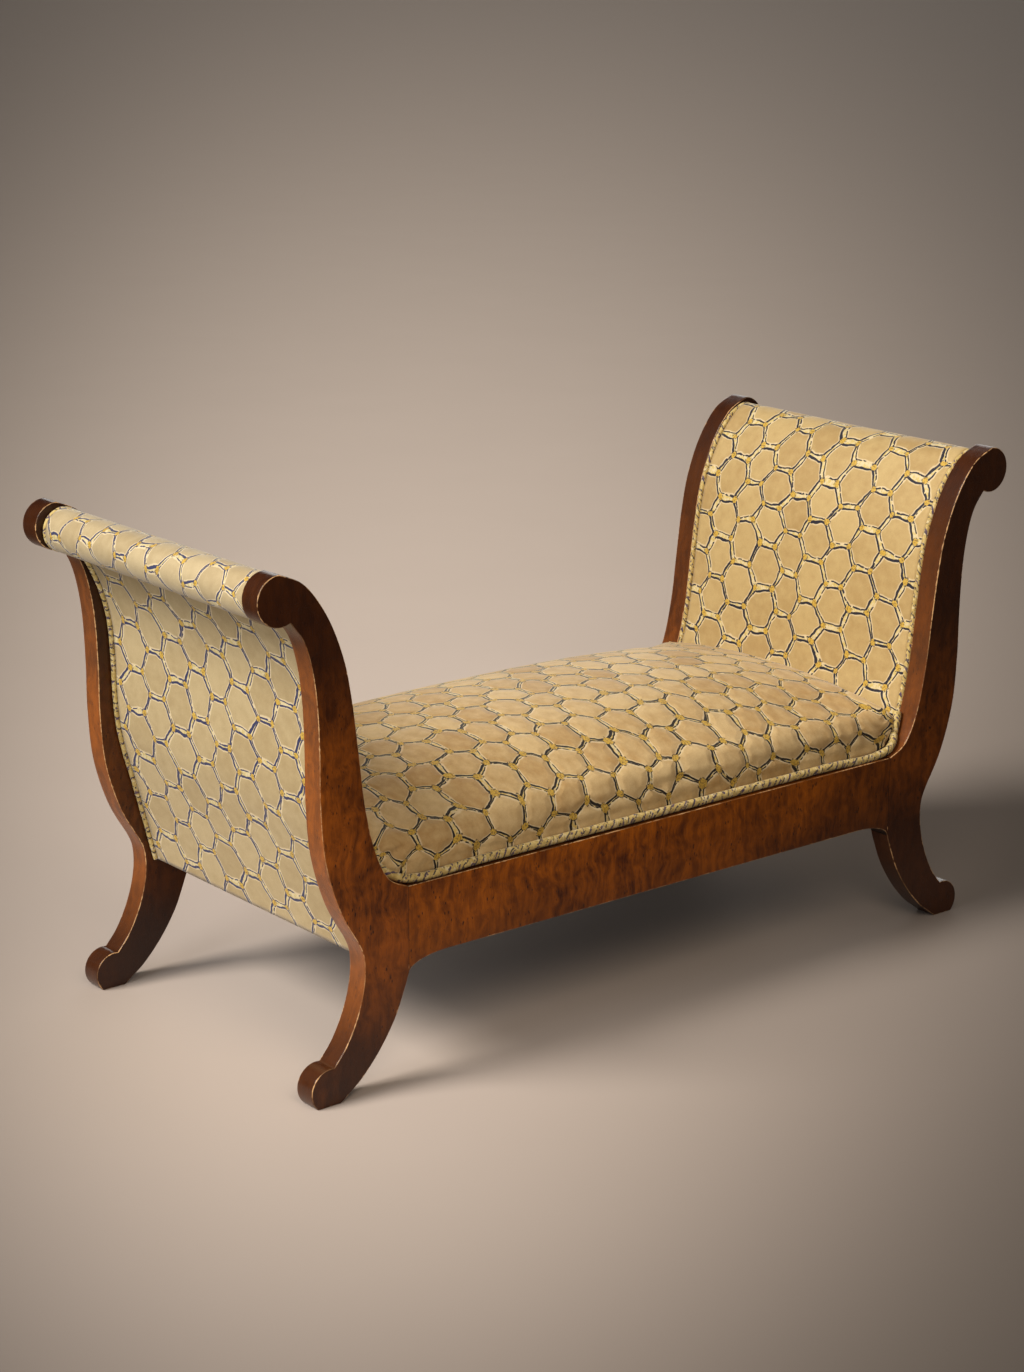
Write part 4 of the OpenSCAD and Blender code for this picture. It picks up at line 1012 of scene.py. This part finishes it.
for step, start, low_share, ink in dashes:
    slant = abs(round_y + start * 0.5) + round_z * 0.5
    turn = abs(reckon("WRAP", (along_cord + drift + slant + start) / step, 0.5, -0.5))
    inked = cloudy(stretched(laid, (190, 170, 170)), 1.0 + start * 20, 1)
    slash = rise(turn, 0.130, 0.100) * rise(inked, low_share - 0.03, low_share + 0.01)
    base = tint(slash * 0.9, base, ink)
weave = cloudy(stretched(laid, (1500, 1500, 1500)), 1.0, 1)
coat(shader, tint(rise(weave, 0.3, 0.7, 0, 0.2), base, cord_shade), None, weave, 0.0003)

piping_tree = bpy.data.node_groups.new("piping", "GeometryNodeTree")
piping_inputs = {"Path": "Geometry", "Radius": "Float", "Step": "Float", "Unevenness": "Float",
                 "Material": "Material"}
for socket, kind in piping_inputs.items():
    piping_tree.interface.new_socket(socket, in_out="INPUT", socket_type="NodeSocket" + kind)
piping_tree.interface.new_socket("Geometry", in_out="OUTPUT", socket_type="NodeSocketGeometry")
tree = piping_tree
sockets = {item.name: item.identifier for item in tree.interface.items_tree if item.in_out == "INPUT"}
taken = {socket.name: Value(socket) for socket in add_node(tree, "NodeGroupInput").outputs}


def keep_along(shape, kind, name, value):
    """Keeps a value of each point of a curve, for when the curve has become a skin."""
    keeper = add_node(piping_tree, "GeometryNodeCaptureAttribute", domain="POINT")
    keeper.capture_items.new(kind, name)
    feed(keeper.inputs["Geometry"], shape)
    feed(keeper.inputs[name], value)
    return Value(keeper.outputs["Geometry"]), Value(keeper.outputs[name])


as_curve = worked(tree, "GeometryNodeMeshToCurve", {"Mesh": taken["Path"]})
evened = worked(tree, "GeometryNodeResampleCurve", {"Curve": as_curve, "Length": taken["Step"]},
                mode="LENGTH")
rail, far_along = keep_along(evened, "FLOAT", "Length",
                             worked(tree, "GeometryNodeSplineParameter", output="Length"))
section = worked(tree, "GeometryNodeCurvePrimitiveCircle", {"Resolution": 14, "Radius": taken["Radius"]},
                 mode="RADIUS")
section, round_place = keep_along(section, "VECTOR", "Round", worked(tree, "GeometryNodeInputPosition"))
skin = worked(tree, "GeometryNodeCurveToMesh", {"Curve": rail, "Profile Curve": section, "Fill Caps": True})
round_x, round_y, _ = parts_of(round_place)
cord_place = worked(tree, "ShaderNodeCombineXYZ", {"X": far_along, "Y": round_x, "Z": round_y})
skin = worked(tree, "GeometryNodeStoreNamedAttribute",
              {"Geometry": skin, "Name": "cord_place", "Value": cord_place},
              data_type="FLOAT_VECTOR", domain="POINT")
lumps = cloudy(cord_place, 90, 1)
swollen = scaled(worked(tree, "GeometryNodeInputNormal"), (lumps - 0.6) * taken["Unevenness"])
skin = worked(tree, "GeometryNodeSetPosition", {"Geometry": skin, "Offset": swollen})
skin = worked(tree, "GeometryNodeSetShadeSmooth", {"Geometry": skin})
skin = worked(tree, "GeometryNodeRealizeInstances", {0: skin})
skin = worked(tree, "GeometryNodeSetMaterial", {"Geometry": skin, "Material": taken["Material"]})
feed(add_node(tree, "NodeGroupOutput").inputs["Geometry"], skin)


def piping(name, path, diameter, node):
    """One length of piping along a path of points."""
    line = bpy.data.meshes.new(name)
    line.from_pydata([tuple(p) for p in path], [(i, i + 1) for i in range(len(path) - 1)], [])
    maker = bpy.data.objects.new(name + "_path", line)
    scene.collection.objects.link(maker)
    sewn = maker.modifiers.new("piping", "NODES")
    sewn.node_group = piping_tree
    for socket, value in (("Radius", diameter / 2), ("Step", cord_step), ("Unevenness", cord_lumps),
                          ("Material", piping_cloth)):
        sewn[sockets[socket]] = value
    piece = bpy.data.objects.new(name, as_shown(maker))
    bpy.data.objects.remove(maker)
    scene.collection.objects.link(piece)
    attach(piece, "root")
    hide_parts(node)


piping_low_z = seat_foot + seat_piping_d / 2
post_h = board_high.z - rail_top
rising = []
for share in np.linspace(0, 1, 11):
    z = rail_top + post_h * piping_foot + share * (piping_rise - piping_foot) * post_h
    p = np.array([inner_x(z), z]) - (seat_piping_d / 2 + seat_gap) * inner_out(z)
    y = seat_piping_y - piping_tuck * min(share / 0.4, 1) - piping_lean * share
    rising.append((p[0], y, max(p[1], piping_low_z)))
rising = np.array(rising)
first_x = rising[0][0] - seat_piping_d
straight = np.c_[np.linspace(-first_x, first_x, 9), np.full(9, seat_piping_y), np.full(9, piping_low_z)]
seat_path = np.r_[rising[::-1] * (-1, 1, 1), straight, rising]
seat_path = evenly(seat_path, 0.01)
inner_path = evenly(np.r_[end_line(0.007, pad_set_back),
                          round_roll(roll_r - end_piping_d * 0.4, roll_end + math.radians(10), 15)], 0.006)
outer_path = panel_line[:-3] + panel_out[:-3] * 0.001
end_piping_y = board_in_y - end_piping_d / 2 - 0.0003
for face, name in ((-1, "front"), (1, "back")):
    piping(name + "_seat_cord", seat_path * (1, face, 1), seat_piping_d, name + "_seat_piping")
    for side, hand in ((-1, "left"), (1, "right")):
        for line, which in ((inner_path, "inner"), (outer_path, "outer")):
            path = np.c_[side * line[:, 0], np.full(len(line), face * end_piping_y), line[:, 1]]
            piping(f"{name}_{hand}_{which}_cord", path, end_piping_d, f"{name}_{hand}_{which}_piping")

# Webbing. Brown jute straps, seven across and four along the seat, woven over and under each
# other and tacked to the rails, and five more across the back of each end, on the battens.
weave_look, taken, given = open_group(
    "plain weave", {"Flat": "Vector", "Threads": "Float"},
    {"Height": "Float", "Thread share": "Float", "Wear": "Float"})
thread_x, thread_y, _ = parts_of(scaled(wander(taken["Flat"], 60.0, 0.0016), taken["Threads"]))
over = reckon("SINE", thread_x * math.pi) * reckon("SINE", thread_y * math.pi)
feed(given["Height"], over * 0.5 + 0.5)
feed(given["Thread share"], rise(over, -0.5, 0.5))
feed(given["Wear"], cloudy(taken["Flat"], 26.0, 4, 0.6))


def coarse_cloth(name, light, dark, threads, rough, depth):
    made, shader = new_material(name, Specular_IOR_Level=0.2)
    tree = shader.id_data
    look = place_group(tree, weave_look, Flat=worked(tree, "ShaderNodeUVMap", uv_map="cloth"),
                       Threads=threads)
    share = look["Thread share"] * 0.5 + rise(look["Wear"], 0.3, 0.7, 0.0, 0.5)
    coat(shader, tint(share, dark, light),
         rise(look["Wear"], 0.3, 0.7, rough - 0.1, rough), look["Height"], depth)
    return made


jute = coarse_cloth("jute webbing", (186, 158, 110), (122, 94, 58), 420.0, 0.9, 0.0005)
strap_w = 0.050
strap_t = 0.0013
strap_shape = np.array([(1, 0), (0.97, 1), (0.32, 1), (-0.32, 1), (-0.97, 1),
                        (-1, 0), (-0.97, -1), (-0.32, -1), (0.32, -1), (0.97, -1)]) / 2
cross_low, cross_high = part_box("seat_cross_webbing")
long_low, long_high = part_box("seat_long_webbing")
cross_places = np.linspace(cross_low.x + strap_w / 2, cross_high.x - strap_w / 2, 7)
long_places = np.linspace(long_low.y + strap_w / 2, long_high.y - strap_w / 2, 4)


def strap_rings(path, up):
    """Rings of points round a strap that follows a path, flat side facing up."""
    way = (path[-1] - path[0]) / np.linalg.norm(path[-1] - path[0])
    across = np.cross(up, way)
    return [p + strap_shape[:, :1] * strap_w * across + strap_shape[:, 1:] * strap_t * up for p in path]


def woven_height(run, crossings, first_sign, end_z):
    """The height of a strap's middle as it goes over one crossing strap and under the next."""
    knots = [(run[0], end_z)]
    for k, crossing in enumerate(crossings):
        level = cross_high.z + (strap_t / 2 + 0.00005) * first_sign * (-1) ** k
        knots += [(crossing - 0.52 * strap_w, level), (crossing + 0.52 * strap_w, level)]
    knots.append((run[-1], end_z))
    return np.interp(run, *np.array(knots).T)


def straps(name, all_rings, node, length):
    points, faces, flat = [], [], []
    for number, rings in enumerate(all_rings):
        skin, skin_faces = ring_skin(rings)
        faces += [tuple(i + len(points) for i in face) for face in skin_faces]
        points += list(skin)
        run = np.linspace(0, length, len(rings))
        flat += [(number + 2 * u, v) for v in run for u in strap_shape[:, 0] * strap_w]
    piece = new_piece(name, points, faces, jute)
    lay_flat(piece, flat)
    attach(piece, "root")
    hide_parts(node)


made = []
for i, x in enumerate(cross_places):
    run = np.linspace(cross_low.y, cross_high.y, 60)
    z = woven_height(run, long_places, (-1) ** i, cross_low.z + strap_t / 2 + 0.0001)
    made.append(strap_rings(np.c_[np.full(60, x), run, z], np.array((0.0, 0.0, 1.0))))
straps("seat_cross_straps", made, "seat_cross_webbing", float(cross_high.y - cross_low.y))
made = []
for j, y in enumerate(long_places):
    run = np.linspace(long_low.x, long_high.x, 110)
    z = woven_height(run, cross_places, -(-1) ** j, long_high.z - strap_t / 2 - 0.0001)
    made.append(strap_rings(np.c_[run, np.full(110, y), z], np.array((0.0, 0.0, 1.0))))
straps("seat_long_straps", made, "seat_long_webbing", float(long_high.x - long_low.x))
end_sheet_y = board_in_y - 0.0004
end_strap_depth = 0.0196
end_strap_sag = 0.0012
end_web_low, end_web_high = 0.135, 0.77
strap_share = strap_w / post_h
strap_heights = strap_share / 2 + np.linspace(end_web_low + 0.25 * strap_share,
                                              end_web_high - 1.1 * strap_share, 5)
for side, hand in ((-1, "left"), (1, "right")):
    made = []
    for share in strap_heights:
        z = rail_top + share * post_h
        out = inner_out(z) * (side, 1)
        run = np.linspace(-end_sheet_y, end_sheet_y, 40)
        deep = end_strap_depth + end_strap_sag * (1 - (run / end_sheet_y) ** 2)
        at = np.array((side * inner_x(z), z)) + deep[:, None] * out
        made.append(strap_rings(np.c_[at[:, 0], run, at[:, 1]], np.array((out[0], 0.0, out[1]))))
    straps(hand + "_end_straps", made, hand + "_end_webbing", 2 * end_sheet_y)

# Hessian. Coarse open sacking of plain jute yarn, stretched over the straps of the seat to
# carry the hair, and up the back of each pad over the straps there.
hessian = coarse_cloth("hessian", (196, 168, 120), (128, 100, 62), 640.0, 0.95, 0.0005)
hessian_t = 0.0008


def hessian_piece(name, front, back, turned, node, size, rests_on):
    points, faces = two_sided(front, back, turned)
    piece = new_piece(name, points, faces, hessian)
    rows, columns = front.shape[:2]
    flat = np.stack(np.meshgrid(np.linspace(0, size[0], columns), np.linspace(0, size[1], rows)), axis=-1)
    lay_flat(piece, np.r_[flat.reshape(-1, 2), flat.reshape(-1, 2)])
    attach(piece, "root")
    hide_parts(node)


sheet_low, sheet_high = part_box("seat_hessian")
notch_x = joint_x - 0.0005
sheet_x = np.sort(np.r_[np.linspace(sheet_low.x, sheet_high.x, 80), -notch_x - 0.0002, -notch_x, notch_x,
                        notch_x + 0.0002])
sheet_half_y = np.where(np.abs(sheet_x) <= notch_x, sheet_high.y, end_sheet_y)
grid = np.array([[(x, share * half, sheet_low.z + 0.0009) for x, half in zip(sheet_x, sheet_half_y)]
                 for share in np.linspace(-1, 1, 44)])
hessian_piece("seat_sacking", grid, grid - (0, 0, hessian_t), False, "seat_hessian",
              (float(sheet_high.x - sheet_low.x), float(2 * sheet_high.y)), ["seat_long_straps"])
end_hessian_depth = 0.0177
sheet_z = rail_top + post_h * np.linspace(pad_foot_share, end_web_high, 40)
sheet_line = np.c_[inner_x(sheet_z), sheet_z]
sheet_out = np.array([inner_out(z) for z in sheet_z])
sheet_across = np.linspace(-end_sheet_y, end_sheet_y, 44)
for side, hand in ((-1, "left"), (1, "right")):
    layers = [beside(side, sheet_line, sheet_out, deep, sheet_across)
              for deep in (end_hessian_depth, end_hessian_depth + hessian_t)]
    up_length = float(length_along(layers[0][:, 0])[-1])
    hessian_piece(hand + "_end_sacking", *layers, side > 0, hand + "_end_hessian",
                  (2 * end_sheet_y, up_length), [hand + "_end_straps"])

# Hair pad. Curled horsehair, teased into a loose lumpy pad that lies on the seat's hessian.
# It fills the hollow under the covered form, whose cloth is pulled down over it.
hair, shader = new_material("curled hair", Roughness=0.8)
curls = cloudy(wander(object_place(shader.id_data), 90.0, 0.02), 420, 6, 0.75)
coat(shader, tint(rise(curls, 0.35, 0.65), (46, 38, 32), (118, 98, 76)), None, curls, 0.003)
hair_plan = rounded_plan(hair_half_x, hair_half_y, 0.048, 0.012)
hair_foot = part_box("seat_stuffing")[0].z
rings = []
for share, height in ((0.985, 0.0), (0.998, 0.12), (1.0, 0.4), (0.999, 0.75), (0.99, 0.93), (0.972, 1.0),
                      *[(share, 1.0) for share in (0.92, 0.84, 0.74, 0.62, 0.5, 0.38, 0.26, 0.14)]):
    x, y = (hair_plan * share).T
    lumps = 0.5 + 0.25 * np.sin(61 * x + 23 * y + 9 * height) + 0.25 * np.sin(47 * y - 38 * x + 4)
    shrunk = 1 - 0.010 * lumps * (height < 1)
    rings.append(np.c_[x * shrunk, y * shrunk, hair_foot + (hair_top - hair_foot) * height
                       - 0.005 * lumps * (height > 0.9)])
points, faces = ring_skin(rings)
hair_pad = new_piece("seat_hair_pad", points, faces, hair)
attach(hair_pad, "root")
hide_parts("seat_stuffing")

# Lining. Thin black cotton that closes the seat from below, so that dust and loose hair stay
# in. It is tacked under the seat, with a hem turned up against each long rail.
lining = coarse_cloth("black lining", (52, 48, 46), (28, 26, 26), 1500.0, 0.95, 0.0002)
cover_low, cover_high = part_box("dust_cover")
cover_t = 0.0008
lining_sag = 0.003
hem_end_x = cover_high.x - 0.0375
cover_x = np.sort(np.r_[np.linspace(cover_low.x, cover_high.x, 90), -hem_end_x - 0.0005, -hem_end_x,
                        hem_end_x, hem_end_x + 0.0005])
bottom_y = np.linspace(cover_low.y + 0.0001, cover_high.y - 0.0001, 48)
rise_up = np.array([1.0, 0.5])
hem_share = np.where(np.abs(cover_x) <= hem_end_x, 1.0, 0.02)
layers = []
for thick in (0, cover_t):
    rows = []
    for x, hem in zip(cover_x, hem_share):
        height = (cover_high.z - cover_low.z - 0.0012) * hem * rise_up
        sag = lining_sag * (1 - (x / cover_high.x) ** 2) * (1 - (bottom_y / cover_high.y) ** 2)
        sag += 0.0004 * np.sin(34 * x + 19 * bottom_y) * (sag > 0.001)
        low = cover_low.z + 0.0001 + thick
        rows.append([(x, bottom_y[0] + thick, low + h) for h in height]
                    + [(x, np.clip(y, bottom_y[0] + thick, bottom_y[-1] - thick), low - s)
                       for y, s in zip(bottom_y, sag)]
                    + [(x, bottom_y[-1] - thick, low + h) for h in height[::-1]])
    layers.append(np.array(rows))
points, faces = two_sided(*layers, False)
lining_cover = new_piece("seat_lining", points, faces, lining)
lay_flat(lining_cover, points[:, :2])
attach(lining_cover, "root")
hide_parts("dust_cover")
